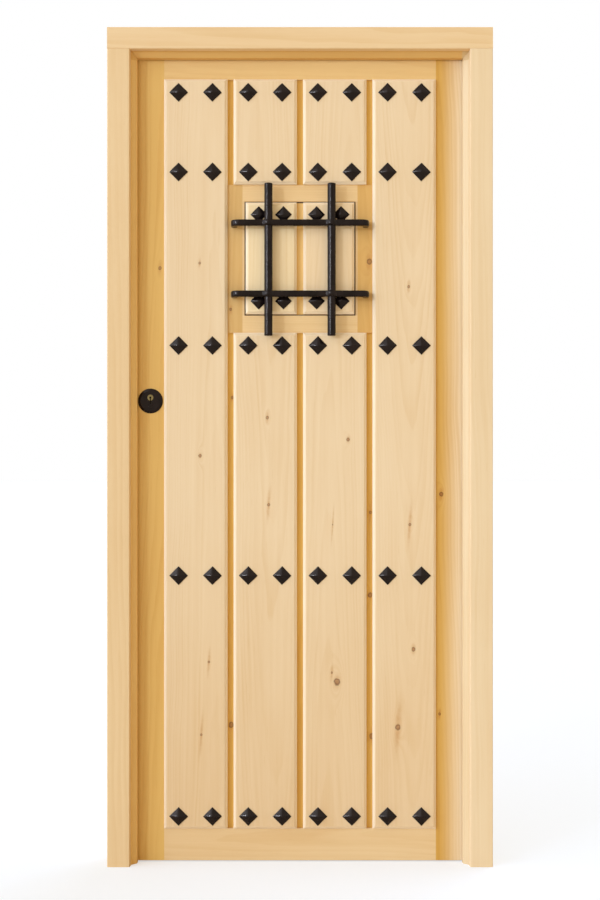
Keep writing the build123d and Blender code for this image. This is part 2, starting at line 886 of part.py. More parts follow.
for side, name in ((-1, "mullion_left"), (1, "mullion_right")):
    with BuildPart() as mullion:
        block(
            (side * mullion_inner, side * window_half),
            (leaf_front, leaf_back),
            (window_bottom, window_top),
        )
        block(
            (side * mullion_inner, side * rebate_inner),
            (throat_back, leaf_back),
            (rebate_bottom, rebate_top),
            mode=Mode.SUBTRACT,
        )
        block(
            (side * (window_half - panel_groove_depth), side * window_half),
            (tongue_front, tongue_back),
            (window_bottom, window_top),
            mode=Mode.SUBTRACT,
        )
        for low, high in (
            (window_bottom, window_bottom + panel_groove_depth),
            (window_top - panel_groove_depth, window_top),
        ):
            block(
                (side * mullion_inner, side * window_half),
                (tongue_front, tongue_back),
                (low, high),
                mode=Mode.SUBTRACT,
            )
        for middle in window_tenon_heights:
            window_tenon(side, middle, tenon_clearance, tenon_end_clearance, Mode.SUBTRACT)
        for z in crossbar_heights.values():
            rod_y_axis(
                side * crossbar_leg_x,
                (leaf_front - cut_overrun, leaf_back + cut_overrun),
                z,
                stem_radius + stem_clearance,
                mode=Mode.SUBTRACT,
            )
        if side > 0:
            place(small_screw_hole, shutter_frame_screws, mode=Mode.SUBTRACT)
    save(mullion.part, name)

with BuildPart() as window_rails:
    for low, high, open_z, rebate_z, groove, middle in (
        (
            window_bottom,
            opening_bottom,
            opening_bottom,
            rebate_bottom,
            (window_bottom, window_bottom + panel_groove_depth),
            window_tenon_heights[0],
        ),
        (
            opening_top,
            window_top,
            opening_top,
            rebate_top,
            (window_top - panel_groove_depth, window_top),
            window_tenon_heights[1],
        ),
    ):
        across = (-mullion_inner, mullion_inner)
        block(across, (leaf_front, leaf_back), (low, high))
        block(across, (throat_back, leaf_back), (open_z, rebate_z), mode=Mode.SUBTRACT)
        block(across, (tongue_front, tongue_back), groove, mode=Mode.SUBTRACT)
        for side in (-1, 1):
            window_tenon(side, middle)
save(window_rails.part, "window_rails")

with BuildPart() as window_linings:
    for side in (-1, 1):
        block(
            (side * opening_half, side * mullion_inner),
            (leaf_front, throat_back),
            (opening_bottom, opening_top),
        )
save(window_linings.part, "window_linings")


def board_studs_at(centre, rows):
    """Places of a board's studs: two in each row."""
    reach = board_width / 2 - stud_edge_distance
    return [(centre + side * reach, z) for z in rows for side in (-1, 1)]


all_board_studs = [spot for centre in board_centres for spot in board_studs_at(centre, rows_full)]
shutter_rows = [shutter_bottom + shutter_stud_inset, shutter_top - shutter_stud_inset]
shutter_stud_reach = shutter_board_width / 2 - shutter_stud_edge_distance
all_shutter_studs = [
    (column * shutter_board_centre + side * shutter_stud_reach, z)
    for column in (-1, 1)
    for side in (-1, 1)
    for z in shutter_rows
]


def cut_stud_holes(spots, depths):
    """Drills the holes for the studs' shanks."""
    for x, z in spots:
        rod_y_axis(x, depths, z, stud_shank_radius + stud_hole_clearance, mode=Mode.SUBTRACT)


def make_board(centre, width, z, rows_spots, chamfer_size, name):
    """Plank with its front face bevelled all round, drilled for its studs."""
    with BuildPart() as board:
        block((centre - width / 2, centre + width / 2), (board_front, panel_front), z)
        chamfer(board.faces().sort_by(Axis.Y)[0].edges(), chamfer_size)
        cut_stud_holes(rows_spots, (board_front - cut_overrun, panel_front + cut_overrun))
    save(board.part, name)


with BuildPart() as window_tongue:
    block((-window_half, window_half), (tongue_front, tongue_back), (window_bottom, window_top))
    block(
        (-window_half + panel_tongue, window_half - panel_tongue),
        (tongue_front, tongue_back),
        (window_bottom + panel_tongue, window_top - panel_tongue),
        mode=Mode.SUBTRACT,
    )

with BuildPart() as backing_panel:
    block((-field_half, field_half), (panel_front, panel_back), (field_bottom, field_top))
    block(
        (-field_half - panel_tongue, field_half + panel_tongue),
        (tongue_front, tongue_back),
        (field_bottom - panel_tongue, field_top + panel_tongue),
    )
    block(
        (-window_half, window_half),
        (panel_front, panel_back),
        (window_bottom, window_top),
        mode=Mode.SUBTRACT,
    )
    add(window_tongue.part)
    cut_stud_holes(all_board_studs, (panel_front - cut_overrun, panel_back + cut_overrun))
save(backing_panel.part, "backing_panel")

for number, centre in enumerate(board_centres, start=1):
    if number in (1, board_count):
        spans = [("", (field_bottom, field_top), rows_full)]
    else:
        spans = [
            ("_lower", (field_bottom, window_bottom), rows_lower),
            ("_upper", (window_top, field_top), rows_upper),
        ]
    for suffix, z, rows in spans:
        make_board(
            centre,
            board_width,
            z,
            board_studs_at(centre, rows),
            board_chamfer,
            f"board_{number}{suffix}",
        )


def inner_boards_between(x, z, count):
    """Boards of equal width side by side on the panel's inner face."""
    width = (x[1] - x[0] - (count - 1) * inner_board_gap) / count
    for index in range(count):
        left = x[0] + index * (width + inner_board_gap)
        block((left, left + width), (panel_back, inner_board_back), z)


with BuildPart() as inner_boards:
    side_gap_x = window_half + inner_board_gap
    inner_boards_between((-field_half, -side_gap_x), (field_bottom, field_top), side_board_count)
    inner_boards_between((side_gap_x, field_half), (field_bottom, field_top), side_board_count)
    middle_x = (-window_half, window_half)
    inner_boards_between(middle_x, (field_bottom, window_bottom), middle_board_count)
    inner_boards_between(middle_x, (window_top, field_top), middle_board_count)
    inner_faces = inner_boards.faces().group_by(Axis.Y)[-1]
    chamfer(inner_faces.edges().filter_by(Axis.Z), inner_board_groove)
save(inner_boards.part, "inner_boards")


def pyramid_stud(side_length, height):
    """Square pyramid head set corner up on the boards' face, with a round shank behind."""
    half_diagonal = side_length / 2**0.5
    base = Plane((0, board_front, 0), x_dir=(1, 0, 0), z_dir=(0, -1, 0))
    with BuildPart() as stud:
        with BuildSketch(base):
            RegularPolygon(half_diagonal, 4)
        with BuildSketch(base.offset(height)):
            RegularPolygon(half_diagonal * stud_tip_share, 4)
        loft()
        rod_y_axis(0, (board_front, board_front + stud_shank_length), 0, stud_shank_radius)
    return stud.part


board_stud = pyramid_stud(stud_side, stud_height)
with BuildPart() as board_studs:
    place(board_stud, [Location((x, 0, z)) for x, z in all_board_studs])
save(board_studs.part, "board_studs")

# Grille
for side, name in ((-1, "grille_upright_left"), (1, "grille_upright_right")):
    with BuildPart() as upright:
        rod_z(side * upright_x, grille_y, upright_ends, upright_diameter / 2)
        chamfer(upright.edges().filter_by(GeomType.CIRCLE), upright_end_chamfer)
    save(upright.part, name)

for height_name, z in crossbar_heights.items():
    with BuildPart() as crossbar:
        with BuildLine():
            FilletPolyline(
                (-crossbar_leg_x, leaf_front, z),
                (-crossbar_leg_x, grille_y, z),
                (crossbar_leg_x, grille_y, z),
                (crossbar_leg_x, leaf_front, z),
                radius=crossbar_bend_radius,
            )
        start = Plane((-crossbar_leg_x, leaf_front, z), x_dir=(1, 0, 0), z_dir=(0, -1, 0))
        with BuildSketch(start):
            RectangleRounded(crossbar_size, crossbar_size, crossbar_rounding)
        sweep()
        for side in (-1, 1):
            rod_z(
                side * upright_x,
                grille_y,
                (z - crossbar_size / 2, z + crossbar_size / 2),
                eye_radius,
            )
            rod_y_axis(side * crossbar_leg_x, (leaf_front, stem_back), z, stem_radius)
        for side in (-1, 1):
            rod_z(
                side * upright_x,
                grille_y,
                (z - crossbar_size, z + crossbar_size),
                upright_diameter / 2 + eye_clearance,
                mode=Mode.SUBTRACT,
            )
    save(crossbar.part, f"grille_crossbar_{height_name}")

stem_places = [(side * crossbar_leg_x, z) for side in (-1, 1) for z in crossbar_heights.values()]
with BuildPart() as grille_washers:
    for x, z in stem_places:
        rod_y_axis(x, (leaf_back, leaf_back + washer_thickness), z, washer_radius)
        rod_y_axis(
            x,
            (leaf_back, leaf_back + washer_thickness),
            z,
            stem_radius + eye_clearance,
            mode=Mode.SUBTRACT,
        )
save(grille_washers.part, "grille_washers")

nut_front = leaf_back + washer_thickness
with BuildPart() as grille_nuts:
    for x, z in stem_places:
        with BuildSketch(Plane((x, nut_front, z), x_dir=(1, 0, 0), z_dir=(0, 1, 0))):
            RegularPolygon(nut_width / 2, 6, major_radius=False)
            Circle(stem_radius + running_clearance, mode=Mode.SUBTRACT)
        extrude(amount=nut_height)
save(grille_nuts.part, "grille_nuts")


def make_escutcheon(face, outward, screws, name):
    """Round plate with a bevelled rim, cut for the cylinder and its two screws."""
    plate_plane = Plane((lock_x, face, escutcheon_height), x_dir=(1, 0, 0), z_dir=(0, outward, 0))
    with BuildPart() as escutcheon:
        with BuildSketch(plate_plane):
            Circle(escutcheon_radius)
        extrude(amount=escutcheon_rim)
        with BuildSketch(plate_plane.offset(escutcheon_rim)):
            Circle(escutcheon_radius)
        with BuildSketch(plate_plane.offset(escutcheon_thickness)):
            Circle(escutcheon_radius - escutcheon_bevel)
        loft()
        cut_cylinder_profile(cylinder_clearance)
        place(small_screw_hole, screws, mode=Mode.SUBTRACT)
    save(escutcheon.part, name)


make_escutcheon(leaf_front, -1, outer_escutcheon_screws, "escutcheon_outer")
make_escutcheon(leaf_back, 1, inner_escutcheon_screws, "escutcheon_inner")

with BuildPart() as small_screws:
    place(small_screw, outer_escutcheon_screws + inner_escutcheon_screws + shutter_frame_screws)
save(small_screws.part, "leaf_small_screws")

# Lock
case_half = lock_case_thickness / 2
with BuildPart() as lock_case:
    block(
        (case_front_x, case_back_x),
        (leaf_middle - case_half, leaf_middle + case_half),
        (case_bottom, case_top),
    )
    inner_half = case_half - lock_case_wall
    block(
        (case_front_x + lock_case_wall, case_back_x - lock_case_wall),
        (leaf_middle - inner_half, leaf_middle + inner_half),
        (case_bottom + lock_case_wall, case_top - lock_case_wall),
        mode=Mode.SUBTRACT,
    )
    for height, tall, _, _ in bolts.values():
        block(
            (case_front_x - cut_overrun, case_front_x + lock_case_wall + cut_overrun),
            (leaf_middle - inner_half, leaf_middle + inner_half),
            (height - tall / 2 - bolt_clearance, height + tall / 2 + bolt_clearance),
            mode=Mode.SUBTRACT,
        )
    cut_cylinder_profile(cylinder_clearance)
save(lock_case.part, "lock_case")

with BuildPart() as lock_faceplate:
    block(
        (-leaf_half, case_front_x),
        (leaf_middle - faceplate_width / 2, leaf_middle + faceplate_width / 2),
        (faceplate_bottom, faceplate_top),
    )
    for height, tall, _, _ in bolts.values():
        block(
            (-leaf_half - cut_overrun, case_front_x + cut_overrun),
            (leaf_middle - inner_half, leaf_middle + inner_half),
            (height - tall / 2 - bolt_clearance, height + tall / 2 + bolt_clearance),
            mode=Mode.SUBTRACT,
        )
    place(large_screw_hole, faceplate_screws, mode=Mode.SUBTRACT)
save(lock_faceplate.part, "lock_faceplate")

for name, (height, tall, length, _) in bolts.items():
    with BuildPart() as bolt:
        block(
            (-leaf_half, -leaf_half + length),
            (leaf_middle - bolt_half_thickness, leaf_middle + bolt_half_thickness),
            (height - tall / 2, height + tall / 2),
        )
        chamfer(bolt.faces().sort_by(Axis.X)[0].edges(), bolt_nose_chamfer)
    save(bolt.part, name)

cylinder_plane = Plane((lock_x, cylinder_front, lock_height), x_dir=(1, 0, 0), z_dir=(0, -1, 0))
keyway_depths = (cylinder_front - cut_overrun, cylinder_front + keyway_depth)


def cut_key_slot():
    """Cuts the slot for the key's bit below the keyhole."""
    block(
        (lock_x - key_slot_width / 2, lock_x + key_slot_width / 2),
        keyway_depths,
        (lock_height - key_slot_drop, lock_height),
        mode=Mode.SUBTRACT,
    )


with BuildPart() as cylinder_body:
    with BuildSketch(cylinder_plane):
        add(cylinder_profile(Plane.XY))
    extrude(amount=-(cylinder_back - cylinder_front))
    rod_y_axis(
        lock_x,
        (cylinder_front - cut_overrun, cylinder_back + cut_overrun),
        lock_height,
        plug_radius + running_clearance,
        mode=Mode.SUBTRACT,
    )
    cam_room = cylinder_radius + cut_overrun
    block(
        (lock_x - cam_room, lock_x + cam_room),
        (leaf_middle - cam_gap / 2, leaf_middle + cam_gap / 2),
        (lock_height - cylinder_tail_drop + cylinder_bridge_height, lock_height + cam_room),
        mode=Mode.SUBTRACT,
    )
    cut_key_slot()
save(cylinder_body.part, "cylinder_body")

with BuildPart() as cylinder_plug:
    rod_y_axis(lock_x, (cylinder_front, cylinder_back), lock_height, plug_radius)
    cam_half = cam_thickness / 2
    block(
        (lock_x - cam_half, lock_x + cam_half),
        (leaf_middle - cam_half, leaf_middle + cam_half),
        (lock_height - cam_radius, lock_height),
    )
    rod_y_axis(lock_x, keyway_depths, lock_height, keyhole_radius, mode=Mode.SUBTRACT)
    cut_key_slot()
save(cylinder_plug.part, "cylinder_plug")

with BuildPart() as thumbturn:
    rod_y_axis(lock_x, (cylinder_back, cylinder_back + thumbturn_base), lock_height, thumbturn_radius)
    wing_front = cylinder_back + thumbturn_base
    block(
        (lock_x - thumbturn_wing_thickness / 2, lock_x + thumbturn_wing_thickness / 2),
        (wing_front, wing_front + thumbturn_wing_depth),
        (lock_height - thumbturn_wing_length / 2, lock_height + thumbturn_wing_length / 2),
    )
    wing_corners = thumbturn.faces().sort_by(Axis.Y)[-1].edges().filter_by(Axis.X)
    fillet(wing_corners, thumbturn_wing_rounding)
save(thumbturn.part, "thumbturn")

with BuildPart() as leaf_screws:
    place(large_screw, door_hinge_screws + faceplate_screws + pull_screws)
save(leaf_screws.part, "leaf_screws")

with BuildPart() as pull_handle:
    for z in pull_ends:
        rod_y_axis(lock_x, (leaf_back, leaf_back + rosette_thickness), z, rosette_radius)
    with BuildLine():
        FilletPolyline(
            (lock_x, leaf_back + rosette_thickness, pull_ends[0]),
            (lock_x, leaf_back + pull_reach, pull_ends[0]),
            (lock_x, leaf_back + pull_reach, pull_ends[1]),
            (lock_x, leaf_back + rosette_thickness, pull_ends[1]),
            radius=pull_bend,
        )
    foot = (lock_x, leaf_back + rosette_thickness, pull_ends[0])
    with BuildSketch(Plane(foot, x_dir=(1, 0, 0), z_dir=(0, 1, 0))):
        Circle(pull_radius)
    sweep()
    place(large_screw_hole, pull_screws, mode=Mode.SUBTRACT)
save(pull_handle.part, "pull_handle")

# Shutter
with BuildPart() as shutter_panel:
    block(
        (-shutter_half, shutter_half),
        (panel_front, throat_back + shutter_seat_gap),
        (shutter_bottom, shutter_top),
    )
    block(
        (-flange_half, flange_half),
        (throat_back + shutter_seat_gap, leaf_back),
        (flange_bottom, flange_top),
    )
    stud_hole_end = board_front + stud_shank_length + cut_overrun
    cut_stud_holes(all_shutter_studs, (panel_front - cut_overrun, stud_hole_end))
    place(small_screw_hole, shutter_door_screws + bolt_plate_screws, mode=Mode.SUBTRACT)
save(shutter_panel.part, "shutter_panel")

for column, name in ((-1, "shutter_board_left"), (1, "shutter_board_right")):
    spots = [(x, z) for x, z in all_shutter_studs if x * column > 0]
    make_board(
        column * shutter_board_centre,
        shutter_board_width,
        (shutter_bottom, shutter_top),
        spots,
        shutter_chamfer,
        name,
    )

shutter_stud = pyramid_stud(shutter_stud_side, shutter_stud_height)
with BuildPart() as shutter_studs:
    place(shutter_stud, [Location((x, 0, z)) for x, z in all_shutter_studs])
save(shutter_studs.part, "shutter_studs")

with BuildPart() as shutter_hinge_fixed:
    for z in shutter_hinge_heights:
        hinge_plate_and_knuckles(shutter_hinge_x, shutter_hinge_y, z, shutter_hinge, 1, 0)
    place(small_screw_hole, shutter_frame_screws, mode=Mode.SUBTRACT)
save(shutter_hinge_fixed.part, "shutter_hinge_fixed_plates")

with BuildPart() as shutter_hinge_moving:
    for z in shutter_hinge_heights:
        hinge_plate_and_knuckles(shutter_hinge_x, shutter_hinge_y, z, shutter_hinge, -1, 1)
    place(small_screw_hole, shutter_door_screws, mode=Mode.SUBTRACT)
save(shutter_hinge_moving.part, "shutter_hinge_moving_plates")

with BuildPart() as shutter_hinge_pins:
    for z in shutter_hinge_heights:
        hinge_pin(shutter_hinge_x, shutter_hinge_y, z, shutter_hinge)
save(shutter_hinge_pins.part, "shutter_hinge_pins")

with BuildPart() as shutter_bolt_plate:
    plate_half = bolt_plate_length / 2
    block(
        (bolt_plate_x - plate_half, bolt_plate_x + plate_half),
        (leaf_back, leaf_back + bolt_plate_thickness),
        (shutter_middle - bolt_plate_height / 2, shutter_middle + bolt_plate_height / 2),
    )
    for x in bolt_guide_xs:
        block(
            (x - bolt_guide_width / 2, x + bolt_guide_width / 2),
            (leaf_back, rod_y + bolt_guide_height / 2),
            (shutter_middle - bolt_guide_height / 2, shutter_middle + bolt_guide_height / 2),
        )
    rod_x(
        (bolt_plate_x - bolt_plate_length, bolt_plate_x + bolt_plate_length),
        rod_y,
        shutter_middle,
        bolt_rod_radius + running_clearance,
        mode=Mode.SUBTRACT,
    )
    place(small_screw_hole, bolt_plate_screws, mode=Mode.SUBTRACT)
save(shutter_bolt_plate.part, "shutter_bolt_plate")

with BuildPart() as shutter_bolt_rod:
    rod_x((rod_tip_x, rod_tip_x + bolt_rod_length), rod_y, shutter_middle, bolt_rod_radius)
    chamfer(shutter_bolt_rod.edges().filter_by(GeomType.CIRCLE), bolt_rod_chamfer)
    rod_y_axis(rod_knob_x, (rod_y, rod_y + bolt_knob_height), shutter_middle, bolt_knob_radius / 2)
    with Locations((rod_knob_x, rod_y + bolt_knob_height, shutter_middle)):
        Sphere(bolt_knob_radius)
save(shutter_bolt_rod.part, "shutter_bolt_rod")

with BuildPart() as shutter_bolt_keep:
    block(
        (bolt_keep_x - bolt_keep_length / 2, bolt_keep_x + bolt_keep_length / 2),
        (leaf_back, rod_y + bolt_guide_height / 2),
        (shutter_middle - bolt_guide_height / 2, shutter_middle + bolt_guide_height / 2),
    )
    fillet(shutter_bolt_keep.edges().filter_by(Axis.X).group_by(Axis.Y)[-1], bolt_keep_rounding)
    rod_x(
        (bolt_keep_x - bolt_keep_length, bolt_keep_x + bolt_keep_length),
        rod_y,
        shutter_middle,
        bolt_rod_radius + bolt_clearance,
        mode=Mode.SUBTRACT,
    )
save(shutter_bolt_keep.part, "shutter_bolt_keep")

with BuildPart() as shutter_screws:
    place(small_screw, shutter_door_screws + bolt_plate_screws)
save(shutter_screws.part, "shutter_screws")
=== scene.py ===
import math

import bmesh
import bpy
import numpy as np
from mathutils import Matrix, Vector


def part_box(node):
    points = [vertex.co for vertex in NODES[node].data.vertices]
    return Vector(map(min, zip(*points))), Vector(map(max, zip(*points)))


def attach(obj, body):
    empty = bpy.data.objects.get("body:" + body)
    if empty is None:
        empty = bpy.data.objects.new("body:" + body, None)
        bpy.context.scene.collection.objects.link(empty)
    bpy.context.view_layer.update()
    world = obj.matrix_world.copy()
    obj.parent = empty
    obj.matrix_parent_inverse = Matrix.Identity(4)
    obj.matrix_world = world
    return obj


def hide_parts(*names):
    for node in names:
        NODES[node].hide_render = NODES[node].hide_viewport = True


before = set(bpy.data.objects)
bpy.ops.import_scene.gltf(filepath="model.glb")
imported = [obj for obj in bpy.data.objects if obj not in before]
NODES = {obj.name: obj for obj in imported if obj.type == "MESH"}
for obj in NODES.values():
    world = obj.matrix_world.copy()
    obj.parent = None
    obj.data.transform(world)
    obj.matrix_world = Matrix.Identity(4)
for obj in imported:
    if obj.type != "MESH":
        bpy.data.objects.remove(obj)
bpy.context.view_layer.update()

MM = 0.001
FULL_TURN = 2 * math.pi
SEED = 20


# Camera, where the photographer stood: in front of the door at half its height.
camera_data = bpy.data.cameras.new("camera")
camera_data.lens = 52.12
camera_data.sensor_width = 36.0
camera = bpy.data.objects.new("camera", camera_data)
camera.location = (0.0, -3.24, 1.0375)
camera.rotation_euler = (math.pi / 2, 0.0, 0.0)
bpy.context.scene.collection.objects.link(camera)
bpy.context.scene.camera = camera
bpy.context.scene.view_settings.view_transform = "Standard"


def linear(red, green, blue):
    """Screen colour from 0 to 255 as linear light, by the usual screen curve."""
    share = np.array([red, green, blue]) / 255.0
    curve = np.where(share <= 0.04045, share / 12.92, ((share + 0.055) / 1.055) ** 2.4)
    return (*(float(part) for part in curve), 1.0)


# Shader nodes

class Wiring:
    """Short words for one node tree: each call adds nodes, links or sets their inputs
    and hands back their output."""

    def __init__(self, tree):
        self.tree = tree

    def put(self, kind, inputs=None, **settings):
        node = self.tree.nodes.new(kind)
        for key, value in settings.items():
            setattr(node, key, value)
        for key, value in (inputs or {}).items():
            if isinstance(value, bpy.types.NodeSocket):
                self.tree.links.new(value, node.inputs[key])
            else:
                node.inputs[key].default_value = value
        return node

    def math(self, operation, first, second=0.0, clamp=False):
        inputs = {0: first, 1: second}
        return self.put("ShaderNodeMath", inputs, operation=operation, use_clamp=clamp).outputs[0]

    def plus(self, first, second, clamp=False):
        return self.math("ADD", first, second, clamp)

    def minus(self, first, second):
        return self.math("SUBTRACT", first, second)

    def times(self, first, second):
        return self.math("MULTIPLY", first, second)

    def over(self, first, second):
        return self.math("DIVIDE", first, second)

    def summed(self, start, shares, clamp=False):
        """The start plus each part times its share. Clamp holds the last sum from 0 to 1."""
        total = start
        for number, (part, share) in enumerate(shares, 1):
            total = self.plus(total, self.times(part, share), clamp and number == len(shares))
        return total

    def squares(self, first, second):
        """The sum of the squares of two values."""
        return self.plus(self.times(first, first), self.times(second, second))

    def bell(self, value, steepness):
        """e to the power of minus the steepness times the value."""
        return self.math("POWER", 2.718, self.times(value, -steepness))

    def vector(self, operation, first, second):
        inputs = {0: first, 1: second}
        return self.put("ShaderNodeVectorMath", inputs, operation=operation).outputs[0]

    def split(self, vector):
        return self.put("ShaderNodeSeparateXYZ", {0: vector}).outputs

    def join(self, x, y, z):
        return self.put("ShaderNodeCombineXYZ", {0: x, 1: y, 2: z}).outputs[0]

    def noise(self, vector, scale, detail=2.0, roughness=0.5):
        inputs = {"Vector": vector, "Scale": scale, "Detail": detail, "Roughness": roughness}
        return self.put("ShaderNodeTexNoise", inputs).outputs[0]

    def step(self, value, low, high, to_low=0.0, to_high=1.0):
        inputs = {0: value, 1: low, 2: high, 3: to_low, 4: to_high}
        return self.put("ShaderNodeMapRange", inputs, interpolation_type="SMOOTHSTEP").outputs[0]

    def blend(self, factor, first, second, kind="MIX"):
        inputs = {0: factor, 6: first, 7: second}
        return self.put("ShaderNodeMix", inputs, data_type="RGBA", blend_type=kind).outputs[2]

    def group(self, tree, inputs):
        return self.put("ShaderNodeGroup", inputs, node_tree=tree).outputs


def effect(name, inputs, outputs):
    """A new node group with named sockets: its wiring, its inputs and the node that
    takes its results."""
    tree = bpy.data.node_groups.new(name, "ShaderNodeTree")
    for way, sockets in (("INPUT", inputs), ("OUTPUT", outputs)):
        for label, kind in sockets:
            tree.interface.new_socket(name=label, in_out=way, socket_type="NodeSocket" + kind)
    wiring = Wiring(tree)
    return wiring, wiring.put("NodeGroupInput").outputs, wiring.put("NodeGroupOutput").inputs


def hand_out(wiring, results, values):
    """Links a group's values to its outputs and hands back the finished group."""
    for key, value in values.items():
        wiring.tree.links.new(value, results[key])
    return wiring.tree


def knot_effect():
    """One knot that goes right through a board. Its distance is the root of the squares
    across and along the grain, counted in radii and made uneven by noise. The core is
    where that distance is small, and the rim a ring round it. The flame is a bell across
    the grain that fades out at its length. The growth rings bulge out towards the face
    round the knot, by a lift of the position in the form of a bell. Core, rim and flame
    are kept as the largest of this knot's and the earlier ones'."""
    wobble_pace = 130.0
    wobble_share = 0.9
    squat = 0.85
    rim_place = 0.80
    slant = 0.07
    flame_narrowness = 0.9
    flame_fade = 1.3
    bulge_stretch = 0.38
    bulge_narrowness = 0.22
    bulge_height = 1.9
    inputs = [("Position", "Vector"), ("Centre", "Vector"), ("Radius", "Float"),
              ("Flame length", "Float"), ("Core", "Float"), ("Rim", "Float"), ("Flame", "Float")]
    outputs = [("Position", "Vector"), ("Core", "Float"), ("Rim", "Float"), ("Flame", "Float")]
    w, given, results = effect("knot", inputs, outputs)
    wobble = w.noise(given["Position"], wobble_pace)
    away = w.split(w.vector("SUBTRACT", given["Position"], given["Centre"]))
    across = w.over(away[0], given["Radius"])
    along = w.over(away[2], given["Radius"])
    square = w.squares(across, w.times(along, squat))
    distance = w.plus(w.math("SQRT", square), w.times(w.minus(wobble, 0.5), wobble_share))
    core = w.step(distance, 1.15, 0.45)
    rim = w.step(w.math("ABSOLUTE", w.minus(distance, rim_place)), 0.40, 0.0)
    lean = w.minus(across, w.times(along, slant))
    narrow = w.bell(w.times(lean, lean), flame_narrowness)
    reach = w.over(w.math("ABSOLUTE", away[2]), given["Flame length"])
    fade = w.math("POWER", w.step(reach, 1.25, 0.0), flame_fade)
    flame = w.times(w.times(narrow, fade), w.step(wobble, 0.2, 0.7, 0.55, 1.0))
    near = w.squares(across, w.times(along, bulge_stretch))
    bulge = w.bell(near, bulge_narrowness)
    lift = w.times(w.times(bulge, given["Radius"]), bulge_height)
    return hand_out(w, results, {
        "Position": w.vector("ADD", given["Position"], w.join(0.0, lift, 0.0)),
        "Core": w.math("MAXIMUM", core, given["Core"]),
        "Rim": w.math("MAXIMUM", rim, given["Rim"]),
        "Flame": w.math("MAXIMUM", flame, given["Flame"]),
    })


def grain_effect():
    """Pine cut from a log whose heart runs along the piece. The distance from the heart,
    with slow and fine noise on it, is counted in growth rings, and each ring darkens
    towards its late wood. Stretched noise gives fibres, streaks and resin ducts. Flame,
    core and rim of the knots are laid over the wood in that order."""
    seed_paces = (7.31, 3.17, 1.73)
    knot_colors = (("Flame", 0.66, linear(196, 134, 66)), ("Core", 0.58, linear(148, 92, 44)),
                   ("Rim", 0.66, linear(98, 56, 24)))
    inputs = [("Position", "Vector"), ("Heart", "Vector"), ("Seed", "Float"), ("Ring width", "Float"),
              ("Taper", "Float"), ("Tone", "Float"), ("Contrast", "Float"), ("Pale", "Color"),
              ("Deep", "Color"), ("Core", "Float"), ("Rim", "Float"), ("Flame", "Float")]
    outputs = [("Color", "Color"), ("Roughness", "Float"), ("Height", "Float")]
    w, given, results = effect("pine grain", inputs, outputs)
    shift = w.join(*(w.times(given["Seed"], pace) for pace in seed_paces))

    def drawn_out(across, along, detail=2.0, roughness=0.5):
        """Noise drawn out along the grain, by its waves per metre across and along."""
        scaled = w.vector("MULTIPLY", given["Position"], (across, across, along))
        return w.noise(w.vector("ADD", scaled, shift), 1.0, detail, roughness)

    def swing(*waves):
        """The same noise about zero."""
        return w.minus(drawn_out(*waves), 0.5)

    slow = swing(5.0, 1.6)
    wave = swing(34.0, 5.0)
    streak = swing(85.0, 1.3, 3.0)
    patch = swing(9.0, 2.4)
    fibre = swing(1100.0, 26.0, 3.0, 0.6)
    duct = w.step(drawn_out(620.0, 17.0, 1.0), 0.70, 0.78)
    place = w.split(w.vector("SUBTRACT", given["Position"], given["Heart"]))
    sideways = w.summed(place[0], [(slow, 0.045)])
    straight = w.math("SQRT", w.squares(sideways, place[1]))
    from_heart = w.summed(straight, [(place[2], given["Taper"]), (wave, 0.0035)])
    count = w.over(from_heart, given["Ring width"])
    uneven = w.noise(w.join(w.times(count, 0.9), given["Seed"], 0.0), 1.0, 1.0)
    turn = w.math("FRACT", w.summed(count, [(uneven, 1.3)]))
    late = w.times(w.step(turn, 0.25, 0.88), w.step(turn, 1.0, 0.92))
    strength = w.step(uneven, 0.3, 0.7, 0.35, 1.0)
    strength = w.times(strength, w.step(patch, -0.2, 0.2, 0.55, 1.15))
    rings = w.times(w.times(late, strength), given["Contrast"])
    tones = [(rings, 0.34), (streak, 0.30), (patch, 0.34), (fibre, 0.16), (duct, 0.16)]
    color = w.blend(w.summed(given["Tone"], tones, clamp=True), given["Pale"], given["Deep"])
    for mask, share, knot_color in knot_colors:
        color = w.blend(w.times(given[mask], share), color, knot_color)
    rough = w.summed(0.50, [(fibre, 0.22), (rings, -0.08), (given["Core"], -0.10)], clamp=True)
    height = w.summed(w.times(rings, 0.45), [(fibre, 0.55), (duct, -0.5), (given["Core"], 0.35)])
    return hand_out(w, results, {"Color": color, "Roughness": rough, "Height": height})


def forged_effect():
    """Black forged iron: broad hammer marks from smooth cell noise, fine scale from
    close noise, and brown tints that change slowly."""
    brown = linear(26, 18, 17)
    inputs = [("Position", "Vector"), ("Seed", "Float"), ("Dark", "Color"), ("Worn", "Color")]
    outputs = [("Color", "Color"), ("Roughness", "Float"), ("Height", "Float")]
    w, given, results = effect("forged iron", inputs, outputs)
    place = w.vector("ADD", given["Position"], w.join(given["Seed"], given["Seed"], 0.0))
    marks = w.put("ShaderNodeTexVoronoi", {"Vector": place, "Scale": 115.0, "Smoothness": 0.8},
                  feature="SMOOTH_F1").outputs["Distance"]
    scale = w.noise(place, 900.0, 4.0, 0.65)
    tint = w.noise(place, 28.0, 3.0)
    rubbed = w.times(w.step(marks, 0.25, 0.6), w.step(scale, 0.42, 0.66))
    color = w.blend(w.step(tint, 0.35, 0.7), given["Dark"], brown)
    color = w.blend(w.times(rubbed, 0.55), color, given["Worn"])
    rough = w.summed(0.07, [(scale, 0.12), (tint, 0.08)])
    height = w.summed(w.times(marks, 0.26), [(scale, 0.07)])
    return hand_out(w, results, {"Color": color, "Roughness": rough, "Height": height})


